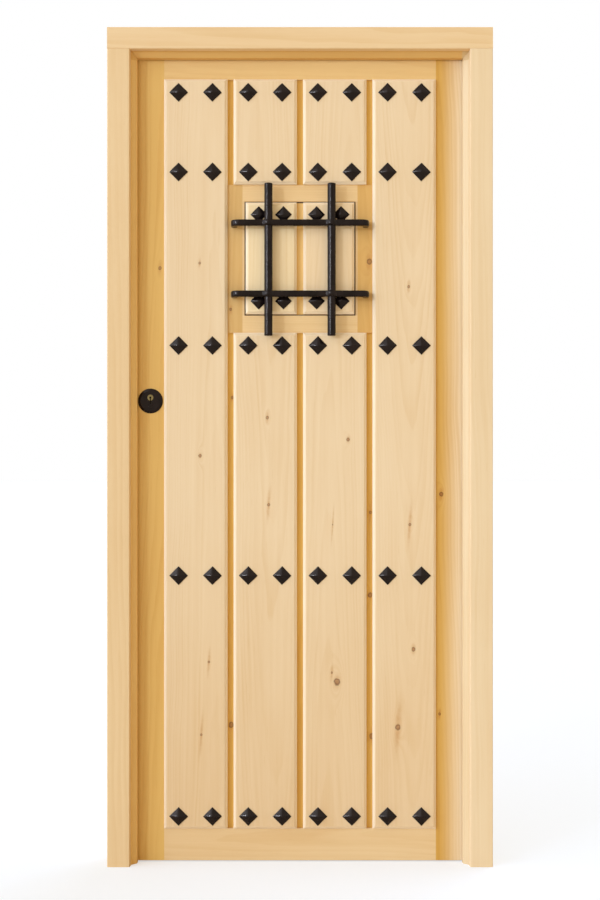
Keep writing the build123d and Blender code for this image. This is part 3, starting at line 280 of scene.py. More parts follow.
def fittings_effect():
    """Plated or brushed fittings: fine scratches along one way from stretched noise,
    finger smudges from slow noise, and dull specks in the plating."""
    inputs = [("Position", "Vector"), ("Seed", "Float"), ("Bright", "Color"), ("Dull", "Color"),
              ("Roughness", "Float")]
    outputs = [("Color", "Color"), ("Roughness", "Float"), ("Height", "Float")]
    w, given, results = effect("worn fittings", inputs, outputs)
    place = w.vector("ADD", given["Position"], w.join(given["Seed"], 0.0, given["Seed"]))
    scratches = w.noise(w.vector("MULTIPLY", place, (1900.0, 1900.0, 60.0)), 1.0, 3.0, 0.6)
    smudges = w.noise(place, 42.0, 3.0)
    specks = w.step(w.noise(place, 1300.0, 2.0), 0.62, 0.72)
    soiled = w.summed(w.step(smudges, 0.42, 0.72, 0.0, 0.55), [(specks, 0.35)], clamp=True)
    color = w.blend(soiled, given["Bright"], given["Dull"])
    scratched = w.minus(scratches, 0.5)
    rough = w.summed(given["Roughness"], [(scratched, 0.22), (soiled, 0.16)], clamp=True)
    height = w.summed(scratches, [(specks, -0.6)])
    return hand_out(w, results, {"Color": color, "Roughness": rough, "Height": height})


KNOT = knot_effect()
GRAIN = grain_effect()
FORGED = forged_effect()
FITTINGS = fittings_effect()


def new_material(name):
    """An empty material: its wiring, its place on the object and its shader."""
    material = bpy.data.materials.new(name)
    material.use_nodes = True
    wiring = Wiring(material.node_tree)
    wiring.tree.nodes.clear()
    place = wiring.put("ShaderNodeTexCoord").outputs["Object"]
    shader = wiring.put("ShaderNodeBsdfPrincipled")
    result = wiring.put("ShaderNodeOutputMaterial")
    wiring.tree.links.new(shader.outputs[0], result.inputs["Surface"])
    return material, wiring, place, shader


def finish_with(wiring, shader, surface, depth, strength=0.5):
    """Links a surface's colour and roughness, and its height as a bump of that depth."""
    wiring.tree.links.new(surface["Color"], shader.inputs["Base Color"])
    wiring.tree.links.new(surface["Roughness"], shader.inputs["Roughness"])
    bump = wiring.put("ShaderNodeBump",
                      {"Height": surface["Height"], "Distance": depth, "Strength": strength})
    wiring.tree.links.new(bump.outputs[0], shader.inputs["Normal"])


# Pine. Each piece is cut from its own place in a log.

PLAIN = (1.0, 1.0, 1.0)
PALE_FACE = linear(240, 211, 168)
DEEP_FACE = linear(216, 172, 113)
# Pale sanded wood on the bevels of the boards, which is also a painted highlight there
SANDED_AND_HIGHLIT = linear(253, 231, 196)
SANDED_AND_HIGHLIT_SHARE = 0.75
# The colour of the room side, which there takes the place of the outside's tints with their painted shade
# and light, and the depths between which it takes over from the outside's
ROOM_TINT = (1.03, 1.09, 1.27)
OUTSIDE_DEPTH = 58.0 * MM
ROOM_DEPTH = 78.0 * MM
TABLE_HEIGHT = 0.95
NEAR_FLOOR = 0.25
GRAIN_DEPTH = 0.0004
GRAIN_STRENGTH = 0.55
WOOD_SHINE = 0.32
# How far a seam moves on in the log, and how it picks the next board's tone
SEAM_JUMP = 2.63
SEAM_PICK = 0.377
SEAM_TONES = 0.22


def tinted(color, tint):
    """A colour times a tint, part by part."""
    return tuple(part * share for part, share in zip(color, (*tint, 1.0)))


def pine(name, centre, seed, heart, ring, contrast, lying=False, taper=0.012, tone=0.30,
         pale=PALE_FACE, deep=DEEP_FACE, tint=PLAIN, knots=(), painted_shade=None, edged=False,
         crossed=None, seams=(), room=None, ripened=0.0):
    """Pine for one piece. The piece's own across, depth and along are measured from its
    centre, and a lying piece has its grain along X. A crossed piece has it along X below
    the first and above the second of its two heights in mm, and there its colour is
    multiplied by the third, which on the door stop's head is a painted shade. Ring is the
    width of a growth ring in mm. Knots are given in mm from the centre as across, along,
    radius and flame length. Tint multiplies both colours; on shaded pieces of the leaf and
    the door stop it carries painted shade, and on the right stile, the stop's right side
    and the shutter boards painted light. Painted shade gives where a painted shadow deepens
    the wood across, in mm, from full to none, and what it multiplies the colour by. Room
    gives the room side the room's tint, times that number, in place of the outside's tint
    and its painted shade and light. Seams are the joints across between boards, each with
    a grain and tone of its own. Sanded-and-highlit wood is pale where its piece's attribute
    edge says so: sanded wood that is also a painted highlight on the bevels. Deeper near
    floor is how much deeper the tone grows from the height of a table down to the floor."""
    material, w, place, shader = new_material(name)
    x, y, z = w.split(place)
    standing = {"Vector": place, "Location": tuple(-part for part in centre)}
    laid = {"Vector": place, "Rotation": (0.0, math.pi / 2, 0.0),
            "Location": (-centre[2], -centre[1], centre[0])}
    position = w.put("ShaderNodeMapping", laid if lying else standing, vector_type="POINT").outputs[0]
    if crossed:
        foot, head, crossed_shade_tint = crossed
        crossing = w.plus(w.math("LESS_THAN", z, foot * MM), w.math("GREATER_THAN", z, head * MM))
        turned = w.put("ShaderNodeMapping", laid, vector_type="POINT").outputs[0]
        position = w.blend(crossing, position, turned)
    for seam in seams:
        past = w.math("GREATER_THAN", x, seam * MM)
        seed = w.summed(seed, [(past, SEAM_JUMP)])
    if seams:
        pick = w.math("FRACT", w.times(seed, SEAM_PICK))
        tone = w.summed(tone - SEAM_TONES / 2, [(pick, SEAM_TONES)])
    core = rim = flame = 0.0
    for across, along, radius, length in knots:
        found = w.group(KNOT, {
            "Position": position, "Centre": (across * MM, 0.0, along * MM), "Radius": radius * MM,
            "Flame length": length * MM, "Core": core, "Rim": rim, "Flame": flame,
        })
        position, core, rim, flame = (found[key] for key in ("Position", "Core", "Rim", "Flame"))
    # Darker towards the bottom, from table height down to the floor
    if ripened:
        tone = w.plus(tone, w.step(z, TABLE_HEIGHT, NEAR_FLOOR, 0.0, ripened))
    surface = w.group(GRAIN, {
        "Position": position, "Heart": (*heart, 0.0), "Seed": seed, "Ring width": ring * MM,
        "Taper": taper, "Tone": tone, "Contrast": contrast, "Pale": tinted(pale, tint),
        "Deep": tinted(deep, tint), "Core": core, "Rim": rim, "Flame": flame,
    })
    color = surface["Color"]
    # Painted shadow: deepens the colour across the piece where it lies in shade, on its outside only
    if painted_shade:
        start, end, deeper = painted_shade
        share = w.step(w.minus(x, centre[0]), start * MM, end * MM, 1.0, 0.0)
        if room:
            share = w.times(share, w.step(y, OUTSIDE_DEPTH, ROOM_DEPTH, 1.0, 0.0))
        color = w.blend(share, color, (*deeper, 1.0), "MULTIPLY")
    # Where crossed, the colour is multiplied by the crossed tint: on the door stop's head a painted shade
    if crossed:
        color = w.blend(crossing, color, (*crossed_shade_tint, 1.0), "MULTIPLY")
    # The room side gets the room's tint in place of the outside's tint with its painted shade and light
    if room:
        to_room = tuple(part * room / share for part, share in zip(ROOM_TINT, tint))
        inward = w.step(y, OUTSIDE_DEPTH, ROOM_DEPTH)
        color = w.blend(inward, color, (*to_room, 1.0), "MULTIPLY")
    # Pale sanded edges, which are partly a painted highlight on the bevels
    if edged:
        edge = w.put("ShaderNodeAttribute", attribute_name="edge").outputs["Fac"]
        color = w.blend(w.times(edge, SANDED_AND_HIGHLIT_SHARE), color, SANDED_AND_HIGHLIT)
    surface = {"Color": color, "Roughness": surface["Roughness"], "Height": surface["Height"]}
    finish_with(w, shader, surface, GRAIN_DEPTH, GRAIN_STRENGTH)
    shader.inputs["Specular IOR Level"].default_value = WOOD_SHINE
    return material


def iron(name, seed, dark, depth, gloss):
    """Waxed black iron. Its wax gives a warm, low sheen."""
    material, w, place, shader = new_material(name)
    surface = w.group(FORGED, {"Position": place, "Seed": seed, "Dark": dark,
                               "Worn": linear(26, 20, 18)})
    finish_with(w, shader, surface, depth)
    shader.inputs["Specular IOR Level"].default_value = gloss
    shader.inputs["Specular Tint"].default_value = (1.0, 0.76, 0.58, 1.0)
    return material


def fitting(name, seed, bright, dull):
    """Bare or plated metal, dulled where it is handled."""
    material, w, place, shader = new_material(name)
    surface = w.group(FITTINGS, {"Position": place, "Seed": seed, "Bright": bright, "Dull": dull,
                                 "Roughness": 0.34})
    finish_with(w, shader, surface, 0.00006)
    shader.inputs["Metallic"].default_value = 1.0
    return material


def rubber(name):
    """Soft seal: matt, with a dusty bloom from slow noise and fine pores."""
    material, w, place, shader = new_material(name)
    bloom = w.noise(place, 55.0, 3.0)
    pores = w.noise(place, 1500.0, 2.0)
    color = w.blend(w.step(bloom, 0.35, 0.75, 0.0, 0.5), linear(72, 60, 52), linear(112, 98, 86))
    rough = w.summed(0.62, [(bloom, 0.2)])
    finish_with(w, shader, {"Color": color, "Roughness": rough, "Height": pores}, 0.00008)
    return material


def dress(material, *names):
    """Gives CAD nodes their finish, as their only material."""
    for name in names:
        slots = NODES[name].data.materials
        slots.clear()
        slots.append(material)


# Knots by their place on the door's front, in mm from its middle and from the floor,
# then the radius and the length of the flame.
KNOTS = {
    "stile_left": [(-353, 1496, 4.0, 26)],
    "stile_right": [(356, 926, 5.0, 22), (352, 372, 3.0, 18)],
    "board_1": [(-252, 1507, 2.8, 16), (-251, 1023, 3.8, 10), (-229, 505, 2.8, 44), (-248, 322, 2.8, 66)],
    "board_2_lower": [(-82, 1119, 3.6, 22), (-79, 900, 3.4, 52)],
    "board_3_lower": [(121, 1064, 4.2, 14), (93, 455, 7.6, 24), (80, 478, 2.6, 30), (82, 850, 1.6, 60)],
    "board_4": [(273, 1448, 3.2, 22), (276, 850, 3.4, 66), (285, 537, 4.6, 18), (246, 341, 6.6, 88)],
    "mullion_left": [(-175, 1392, 3.4, 20)],
    "mullion_right": [(175, 1513, 6.4, 44)],
    "backing_panel": [(-171, 1170, 3.4, 16), (-174, 343, 6.2, 20), (177, 671, 5.6, 16), (181, 315, 5.8, 28),
                      (178, 880, 3.4, 50)],
}

# Knots of the boards towards the room, from their middle.
INNER_KNOTS = [(-318, 402, 4.6, 30), (-224, -268, 6.8, 42), (-131, -705, 4.0, 24), (-48, -96, 5.2, 36),
               (37, -512, 3.4, 20), (128, -338, 7.4, 46), (216, 610, 3.8, 22), (301, -150, 5.4, 34),
               (296, -812, 3.2, 18), (-212, 842, 3.6, 26)]
INNER_SEAMS = (-262.75, -183.0, -91.25, 0.0, 91.25, 183.0, 262.75)


def wood(node, **cut):
    """Pine for one CAD node, measured from the node's middle and with the node's knots
    unless the cut brings its own."""
    low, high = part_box(node)
    centre = tuple((low[i] + high[i]) / 2 for i in range(3))
    knots = [(x - centre[0] / MM, z - centre[2] / MM, radius, flame)
             for x, z, radius, flame in KNOTS.get(node, ())]
    return pine("pine " + node, centre, **{"knots": knots, **cut})


# How each piece without a raised face is cut. The leaf is of warmer pine than the frame,
# and the tints of its outside carry painted shade and light, which its side towards the room is without.
LEAF = {"pale": linear(236, 201, 147), "deep": linear(207, 155, 88)}
UPRIGHT = {**LEAF, "ring": 4.4, "tone": 0.34, "contrast": 0.6, "room": 0.97}
RAIL = {**LEAF, "lying": True, "heart": (0.02, 0.12), "ring": 4.6, "tone": 0.32, "contrast": 0.55,
        "room": 1.0}
CUTS = {
    "jamb_left": dict(seed=3.1, heart=(-0.05, 0.13), ring=5.0, taper=0.006, tone=0.34,
                      contrast=0.42, tint=(0.98, 0.94, 0.84)),
    "jamb_right": dict(seed=8.7, heart=(0.06, 0.12), ring=5.4, taper=-0.005, tone=0.26,
                       contrast=0.38, tint=(1.0, 1.01, 1.0)),
    "header": dict(seed=12.3, heart=(0.03, 0.14), ring=4.8, taper=0.008, tone=0.32,
                   contrast=0.5, tint=(1.01, 0.97, 0.88), lying=True),
    # Painted light and shade on the door stop: its tint makes the lit right side pale, its painted shade
    # deepens the shaded left side and head, and its crossed colour darkens the head again.
    "door_stop": dict(LEAF, seed=5.5, heart=(0.3, 0.4), ring=4.0, tone=0.42, contrast=0.35,
                      tint=(1.02, 1.16, 1.42), painted_shade=(403.0, 409.0, (1.10, 0.92, 0.55)),
                      crossed=(-1.0, 2014.0, (0.86, 0.79, 0.66))),
    # Painted shade: the deep tints of the left stile and the mullions stand in for the shadow of the jamb,
    # the boards and the shutter. The right stile's pale tint is painted light, and its painted shade is the
    # shadow of the board beside it.
    "stile_left": dict(UPRIGHT, seed=14.2, heart=(0.05, 0.12), tint=(0.98, 0.88, 0.49)),
    "stile_right": dict(UPRIGHT, seed=16.9, heart=(-0.07, 0.13), tint=(1.10, 1.26, 1.62),
                        painted_shade=(-34.0, 34.0, (0.80, 0.57, 0.175))),
    "mullion_left": dict(UPRIGHT, seed=21.4, heart=(0.03, 0.08), tint=(0.93, 0.84, 0.60)),
    "mullion_right": dict(UPRIGHT, seed=23.8, heart=(-0.02, 0.09), tint=(0.94, 0.80, 0.48)),
    # Painted shade: the top rail's tint stands in for the header's shadow on it.
    "top_rail": dict(RAIL, seed=27.7, tint=(1.03, 0.99, 0.80)),
    "bottom_rail": dict(RAIL, seed=29.1, tint=(1.04, 1.07, 1.11)),
    "window_rails": dict(RAIL, seed=31.6, tint=(1.09, 1.08, 1.03)),
    "window_linings": dict(LEAF, seed=33.3, heart=(0.02, 0.12), ring=4.6, contrast=0.5,
                           crossed=(1382.0, 1658.5, PLAIN)),
    # Painted shade: the deep tints of the backing panel and the shutter panel stand in for the shade
    # between the boards.
    "backing_panel": dict(LEAF, seed=36.2, heart=(0.02, 0.2), ring=4.0, tone=0.6, contrast=0.7,
                          tint=(1.07, 1.01, 0.48)),
    "shutter_panel": dict(LEAF, seed=39.5, heart=(0.02, 0.12), ring=4.2, tone=0.42, contrast=0.6,
                          tint=(1.15, 1.15, 0.85), room=0.98),
    "inner_boards": dict(seed=41.9, heart=(0.05, -0.12), ring=4.4, contrast=0.62,
                         seams=INNER_SEAMS, knots=INNER_KNOTS),
}
for node, cut in CUTS.items():
    dress(wood(node, **cut), node)

# Metal and rubber
BLACK = iron("black iron", 1.0, linear(7, 4, 4), 0.0006, 0.21)
STUD_IRON = iron("stud iron", 4.0, linear(16, 11, 11), 0.0008, 0.25)
STEEL = fitting("zinc steel", 2.0, linear(196, 197, 200), linear(150, 150, 150))
BRASS = fitting("brass", 5.0, linear(128, 108, 66), linear(84, 64, 36))
SEAL = rubber("seal rubber")
dress(SEAL, "weather_seal")
dress(BRASS, "cylinder_plug")
dress(STEEL, "deadbolt", "latch_bolt", "lock_case", "lock_faceplate", "strike_plate", "frame_screws",
      "leaf_screws")
dress(BLACK, "cylinder_body", "escutcheon_inner", "escutcheon_outer", "thumbturn", "pull_handle",
      "grille_nuts", "grille_washers", "leaf_small_screws", "shutter_screws", "shutter_bolt_keep",
      "shutter_bolt_plate", "shutter_bolt_rod", "shutter_hinge_fixed_plates",
      "shutter_hinge_moving_plates", "shutter_hinge_pins", "hinge_pins")
for level in ("bottom", "middle", "top"):
    dress(BLACK, f"hinge_{level}_door_plate", f"hinge_{level}_frame_plate")


# Meshes

def listed(faces):
    """Rows of corner numbers as a list of faces."""
    return [tuple(face) for face in faces.tolist()]


def grid_faces(rows, columns, closed_rows=False, closed_columns=True):
    """Four-sided faces over a grid of points numbered row by row. A closed way joins its
    last line to its first."""
    row = np.arange(rows if closed_rows else rows - 1)
    column = np.arange(columns if closed_columns else columns - 1)
    i, j = np.meshgrid(row, column, indexing="ij")
    i, j = i.ravel(), j.ravel()
    down, over = (i + 1) % rows, (j + 1) % columns
    square = [i * columns + j, i * columns + over, down * columns + over, down * columns + j]
    return listed(np.stack(square, axis=1))


def round_angles(points):
    """Angles evenly spread round a circle."""
    return np.linspace(0, FULL_TURN, points, endpoint=False)


def capped_tube(sections):
    """A closed skin over rings of points, rings x points x 3, with each end drawn to
    the middle of its ring."""
    rings, points, _ = sections.shape
    corners = sections.reshape(-1, 3)
    first, last = len(corners), len(corners) + 1
    corners = np.vstack([corners, sections[0].mean(0), sections[-1].mean(0)])
    around = np.arange(points)
    after = (around + 1) % points
    start = np.stack([np.full(points, first), after, around], axis=1)
    base = (rings - 1) * points
    end = np.stack([np.full(points, last), base + around, base + after], axis=1)
    return corners, grid_faces(rings, points) + listed(np.vstack([start, end]))


def joined(parts):
    """Several skins as one set of corners and faces."""
    corners, faces, count = [], [], 0
    for part_corners, part_faces in parts:
        corners.append(part_corners)
        faces += [tuple(index + count for index in face) for face in part_faces]
        count += len(part_corners)
    return np.vstack(corners), faces


def add_piece(name, skin, material, body, nodes, sharp):
    """Makes a piece from corners in metres and faces, with its normals turned outwards,
    smooth but for edges sharper than the given angle in degrees, and puts it on its body
    in place of its CAD nodes."""
    corners, faces = skin
    mesh = bpy.data.meshes.new(name)
    mesh.from_pydata(corners.tolist(), [], faces)
    shell = bmesh.new()
    shell.from_mesh(mesh)
    bmesh.ops.remove_doubles(shell, verts=shell.verts, dist=1e-6)
    bmesh.ops.recalc_face_normals(shell, faces=shell.faces)
    shell.to_mesh(mesh)
    shell.free()
    mesh.polygons.foreach_set("use_smooth", np.ones(len(mesh.polygons), bool))
    mesh.set_sharp_from_angle(angle=math.radians(sharp))
    mesh.materials.append(material)
    piece = bpy.data.objects.new(name, mesh)
    bpy.context.scene.collection.objects.link(piece)
    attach(piece, body)
    if nodes:
        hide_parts(*nodes)
    return piece


# Boards

BOARD_BEVEL = 7.0 * MM
BEVEL_RUN = 4.0 * MM
BEVEL_SPREAD = 1.6 * MM
SANDED_AND_HIGHLIT_REACH = 1.25


def softened_bevel(bevel, run, back, spread):
    """Profile of a board's edge as inset and depth: up the side, across the bevel and in
    along the face. It is a line of three runs, averaged over a length of it so that its
    two corners come out round."""
    turns = np.array([[0.0, back], [0.0, bevel], [bevel, 0.0], [bevel + run, 0.0]])
    lengths = np.r_[0.0, np.cumsum(np.hypot(*np.diff(turns, axis=0).T))]

    def along(distance):
        return np.stack([np.interp(distance, lengths, turns[:, way]) for way in (0, 1)], axis=1)

    near = np.concatenate([corner + np.linspace(-spread, spread, 7) for corner in lengths[1:3]])
    stations = np.r_[0.0, near, lengths[-1]]
    offsets = np.linspace(-spread, spread, 21)
    smooth = np.mean([along(stations + offset) for offset in offsets], axis=0)
    smooth[0], smooth[-1] = turns[0], turns[-1]
    return smooth


def raised_board(node, material, body):
    """A board with a soft bevel round its face. The edge profile is carried round the
    board's rectangle, mitred at the corners, and the face and back are flat. Its
    attribute edge is 1 at the rim and falls to 0 just past the bevel."""
    low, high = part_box(node)
    profile = softened_bevel(BOARD_BEVEL, BEVEL_RUN, high[1] - low[1], BEVEL_SPREAD)
    inset, depth = profile[:, 0], profile[:, 1]
    x = np.stack([low[0] + inset, high[0] - inset, high[0] - inset, low[0] + inset], axis=1)
    z = np.stack([low[2] + inset, low[2] + inset, high[2] - inset, high[2] - inset], axis=1)
    y = np.repeat((low[1] + depth)[:, None], 4, axis=1)
    corners = np.stack([x, y, z], axis=2).reshape(-1, 3)
    rows = len(profile)
    faces = grid_faces(rows, 4) + [(3, 2, 1, 0), tuple(range(4 * rows - 4, 4 * rows))]
    piece = add_piece("dressed_" + node, (corners, faces), material, body, [node], 28.0)
    place = np.empty(3 * len(piece.data.vertices))
    piece.data.vertices.foreach_get("co", place)
    place = place.reshape(-1, 3)
    # The edge attribute is where the material pales the bevels: sanding and a painted highlight
    margin = np.minimum.reduce([place[:, 0] - low[0], high[0] - place[:, 0],
                                place[:, 2] - low[2], high[2] - place[:, 2]])
    edge = np.clip(SANDED_AND_HIGHLIT_REACH - margin / BOARD_BEVEL, 0.0, 1.0).astype(np.float32)
    piece.data.attributes.new("edge", "FLOAT", "POINT").data.foreach_set("value", edge)


LEAF_BOARDS = {
    "board_1": dict(seed=51.3, heart=(0.05, 0.12), ring=4.4, taper=0.006, tone=0.26),
    "board_2_upper": dict(seed=53.9, heart=(-0.03, 0.10), ring=4.2, taper=0.012, tone=0.30),
    "board_2_lower": dict(seed=56.2, heart=(0.02, 0.11), ring=4.6, taper=-0.014, tone=0.28),
    "board_3_upper": dict(seed=58.8, heart=(0.04, 0.12), ring=4.2, taper=0.010, tone=0.28),
    "board_3_lower": dict(seed=61.4, heart=(-0.02, 0.10), ring=4.4, taper=0.012, tone=0.28),
    "board_4": dict(seed=64.7, heart=(0.02, 0.09), ring=4.6, taper=-0.030, tone=0.28),
}
# Painted light: the shutter boards' tints brighten them against the grille's shadow, the left one more.
SHUTTER_BOARDS = {
    "shutter_board_left": dict(seed=67.1, tint=(1.12, 1.14, 1.08)),
    "shutter_board_right": dict(seed=69.8, tint=(1.08, 1.06, 1.02)),
}
for node, cut in LEAF_BOARDS.items():
    raised_board(node, wood(node, contrast=0.5, edged=True, ripened=0.22, **cut), "leaf")
for node, cut in SHUTTER_BOARDS.items():
    finish = wood(node, heart=(0.01, 0.09), ring=4.0, tone=0.28, contrast=0.5, edged=True, **cut)
    raised_board(node, finish, "shutter")


# Studs

def forged_stud(x, z, front, half, height, dice):
    """A hand-hammered pyramid set corner up. Over a square grid its height falls with
    the larger of the two distances from its middle, as a soft maximum, so that the
    ridges and tip are rounded, with a slight swell of the faces, an uneven surface
    and a thin upright edge."""
    count = 15
    ridge_softness = 0.045
    tip_softness = 0.05
    tip_lift = 0.02
    edge = 1.1 * MM
    swell = 0.16
    unevenness = 0.10 * MM
    sunk = 0.4 * MM
    line = np.sin(np.linspace(-1, 1, count) * math.pi / 2)
    u, v = np.meshgrid(line, line, indexing="ij")
    apart = np.abs(u) - np.abs(v)
    larger = np.sqrt(apart**2 + ridge_softness**2) / 2 + (np.abs(u) + np.abs(v)) / 2
    larger = np.sqrt(larger**2 + tip_softness**2) - tip_lift
    fall = np.clip(1.0 - larger, 0.0, 1.0)
    rise = edge + (height - edge) * (fall + swell * fall * (1 - fall))

    def ripple():
        return dice.uniform(-1, 1) * np.sin(dice.uniform(2, 6) * u + dice.uniform(2, 6) * v
                                            + dice.uniform(0, 6))

    bumps = sum(ripple() for _ in range(5))
    rise = rise + unevenness * bumps * np.minimum(1.0, 3 * fall)
    turn = math.pi / 4 + math.radians(dice.uniform(-1.2, 1.2))
    reach = half * (1 + 0.012 * np.sin(3 * u + dice.uniform(0, 6)) * v)
    px = reach * (u * math.cos(turn) - v * math.sin(turn))
    pz = reach * (u * math.sin(turn) + v * math.cos(turn))
    corners = np.stack([x + px, front - rise, z + pz], axis=2).reshape(-1, 3)
    rim = np.concatenate([np.arange(count), np.arange(2 * count - 1, count * count, count),
                          np.arange(count * count - 2, count * (count - 1) - 1, -1),
                          np.arange(count * (count - 2), 0, -count)])
    foot = corners[rim].copy()
    foot[:, 1] = front + sunk
    base = len(corners)
    size = len(rim)
    order = np.arange(size)
    after = (order + 1) % size
    faces = grid_faces(count, count, closed_columns=False)
    faces += listed(np.stack([rim, rim[after], base + after, base + order], 1))
    faces.append(tuple(range(base, base + size)))
    return np.vstack([corners, foot]), faces


def stud_field(name, places, node, side, height, body):
    """All the studs of one node as one piece, each a little different. Places are in mm
    across and up, from the door's middle and the floor."""
    dice = np.random.default_rng(SEED + len(places))
    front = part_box(node)[0][1] + height
    studs = [forged_stud(x * MM, z * MM, front, side / 2, height, dice) for x, z in places]
    add_piece(name, joined(studs), STUD_IRON, body, [node], 40.0)


BOARD_MIDDLES = (-262.5, -87.5, 87.5, 262.5)
STUD_OFFSET = 42.5
STUD_ROWS = (117.0, 722.0, 1300.0, 1736.0, 1936.0)
columns = [centre + offset for centre in BOARD_MIDDLES for offset in (-STUD_OFFSET, STUD_OFFSET)]
board_places = [(x, z) for z in STUD_ROWS for x in columns]
stud_field("forged_board_studs", board_places, "board_studs", 33.2 * MM, 10.0 * MM, "leaf")
shutter_places = [(x, z) for z in (1411.5, 1629.0) for x in (-103.5, -41.5, 41.5, 103.5)]
stud_field("forged_shutter_studs", shutter_places, "shutter_studs", 29.8 * MM, 8.0 * MM, "shutter")


# Grille

BAR_SHARPNESS = 50.0


def hammered(angle, along, amount, dice):
    """Uneven thickness of a forged bar: waves round it and along it that add up to a
    few percent and close on themselves."""
    total = np.zeros(np.broadcast(angle, along).shape)
    for _ in range(14):
        turns = dice.integers(1, 7)
        pace = dice.uniform(60, 420)
        total += dice.uniform(0.3, 1.0) * np.sin(turns * angle + pace * along + dice.uniform(0, 6.3))
    return 1.0 + amount * total / 3.0


def round_upright(node, dice):
    """A hammered round bar standing up: circles along Z whose radius is uneven, with
    its ends drawn in over a short rounded chamfer."""
    swell = 1.04
    unevenness = 0.006
    chamfer = 1.6 * MM
    drawn_in = 1.8 * MM
    low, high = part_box(node)
    radius = (high[0] - low[0]) / 2
    centre = ((low[0] + high[0]) / 2, (low[1] + high[1]) / 2)
    angle = round_angles(40)[None, :]
    steps = np.array([0.0, 0.25, 0.8])
    z = np.linspace(low[2], high[2], 240)[2:-2]
    z = np.r_[low[2] + steps * chamfer, z, high[2] - steps[::-1] * chamfer]
    to_end = np.minimum(z - low[2], high[2] - z)
    draw = 1.0 - (drawn_in / radius) * np.clip(1 - to_end / chamfer, 0, 1) ** 2
    size = radius * swell * draw[:, None] * hammered(angle, z[:, None], unevenness, dice)
    x = centre[0] + size * np.cos(angle)
    y = centre[1] + size * np.sin(angle)
    ring_z = np.repeat(z[:, None], angle.shape[1], axis=1)
    skin = capped_tube(np.stack([x, y, ring_z], axis=2))
    add_piece("forged_" + node, skin, BLACK, "leaf", [node], BAR_SHARPNESS)


def threaded_stem(x, z, start, end, radius):
    """A stem's thread: circles along Y with a wave of the thread's pitch on the radius,
    leaning round the stem, and a rounded end."""
    pitch = 1.5 * MM
    rounding = 1.2 * MM
    angle = round_angles(24)[None, :]
    y = np.linspace(start, end, 260)[:, None]
    wave = np.abs(((y / pitch + angle / FULL_TURN) % 1.0) - 0.5) * 2
    size = radius * (0.93 + 0.07 * wave) * np.minimum(1.0, 0.75 + 0.25 * (end - y) / rounding)
    stem = np.stack([x + size * np.cos(angle), y + 0 * angle, z + size * np.sin(angle)], axis=2)
    return capped_tube(stem)


def rounded_power(part):
    """A circle's sine or cosine raised to a power below 1, with its sign kept, which
    swells the circle towards a square with round corners."""
    return np.sign(part) * np.abs(part) ** (2 / 4.6)


def forged_crossbar(node, eyes, dice):
    """A square bar whose two legs turn back to the door. The section is a rounded square
    carried along legs, bends and span, deepened to a round eye where an upright goes
    through, and uneven from the hammer."""
    half = 8.0 * MM
    leg = 165.5 * MM
    bend = 12.0 * MM
    eye_radius = 15.0 * MM
    door = 46.0 * MM
    stem_radius = 5.0 * MM
    unevenness = 0.012
    low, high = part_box(node)
    z = (low[2] + high[2]) / 2
    bar_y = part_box("grille_upright_left")[0][1] + 10.0 * MM
    leg_y = np.linspace(door + 1.0 * MM, bar_y + bend, 8)
    turn = np.linspace(0, math.pi / 2, 9)[1:]
    span = np.linspace(-leg + bend, leg - bend, 260)[1:]
    left_x = -leg + bend - bend * np.cos(turn)
    left_y = bar_y + bend - bend * np.sin(turn)
    x = np.r_[np.full(8, -leg), left_x, span, -left_x[::-1][1:], np.full(8, leg)]
    y = np.r_[leg_y, left_y, np.full(len(span), bar_y), left_y[::-1][1:], leg_y[::-1]]
    path = np.stack([x, y], axis=1)
    tangent = np.gradient(path, axis=0)
    tangent /= np.linalg.norm(tangent, axis=1)[:, None]
    out = np.stack([tangent[:, 1], -tangent[:, 0]], axis=1)
    run = np.r_[0.0, np.cumsum(np.linalg.norm(np.diff(path, axis=0), axis=1))]
    deep = np.full(len(path), half)
    for eye in eyes:
        round_part = np.sqrt(np.clip(eye_radius**2 - (x - eye) ** 2, 0, None))
        eyed = np.maximum(deep, (deep**8 + round_part**8) ** 0.125)
        deep = np.where(np.abs(y - bar_y) < MM, eyed, deep)
    angle = round_angles(32)
    rough = hammered(angle[None, :], run[:, None], unevenness, dice)
    side = deep[:, None] * rounded_power(np.cos(angle))[None, :] * rough
    px = path[:, 0][:, None] + side * out[:, 0][:, None]
    py = path[:, 1][:, None] + side * out[:, 1][:, None]
    pz = z + half * rounded_power(np.sin(angle))[None, :] * rough
    bar = capped_tube(np.stack([px, py, pz], axis=2))
    stems = [threaded_stem(sign * leg, z, door - 2 * MM, high[1], stem_radius) for sign in (-1, 1)]
    skin = joined([bar, *stems])
    add_piece("forged_" + node, skin, BLACK, "leaf", [node], BAR_SHARPNESS)


forge = np.random.default_rng(SEED)
for side in ("left", "right"):
    round_upright("grille_upright_" + side, forge)
for level in ("lower", "upper"):
    forged_crossbar("grille_crossbar_" + level, (-79.0 * MM, 79.0 * MM), forge)


# Seal round the window

def gap_seal(outer, inner, near, far):
    """A soft seal in a four-sided opening: a flat section with a rounded lip towards the
    middle, carried round the opening's rectangle and mitred at the corners. outer and
    inner give half the width, the lowest and the highest edge."""
    turn = np.linspace(-math.pi / 2, math.pi / 2, 7)
    depth = (far - near) / 2
    lip = np.r_[0.0, 0.55 + 0.45 * np.cos(turn), 0.0]
    y = (near + far) / 2 + np.r_[-depth, depth * np.sin(turn), depth]
    half, low, high = (out + (into - out) * lip for out, into in zip(outer, inner))
    x = np.stack([-half, half, half, -half], axis=1)
    z = np.stack([low, low, high, high], axis=1)
    corners = np.stack([x, np.repeat(y[:, None], 4, axis=1), z], axis=2).reshape(-1, 3)
    return corners, grid_faces(len(lip), 4, closed_rows=True)


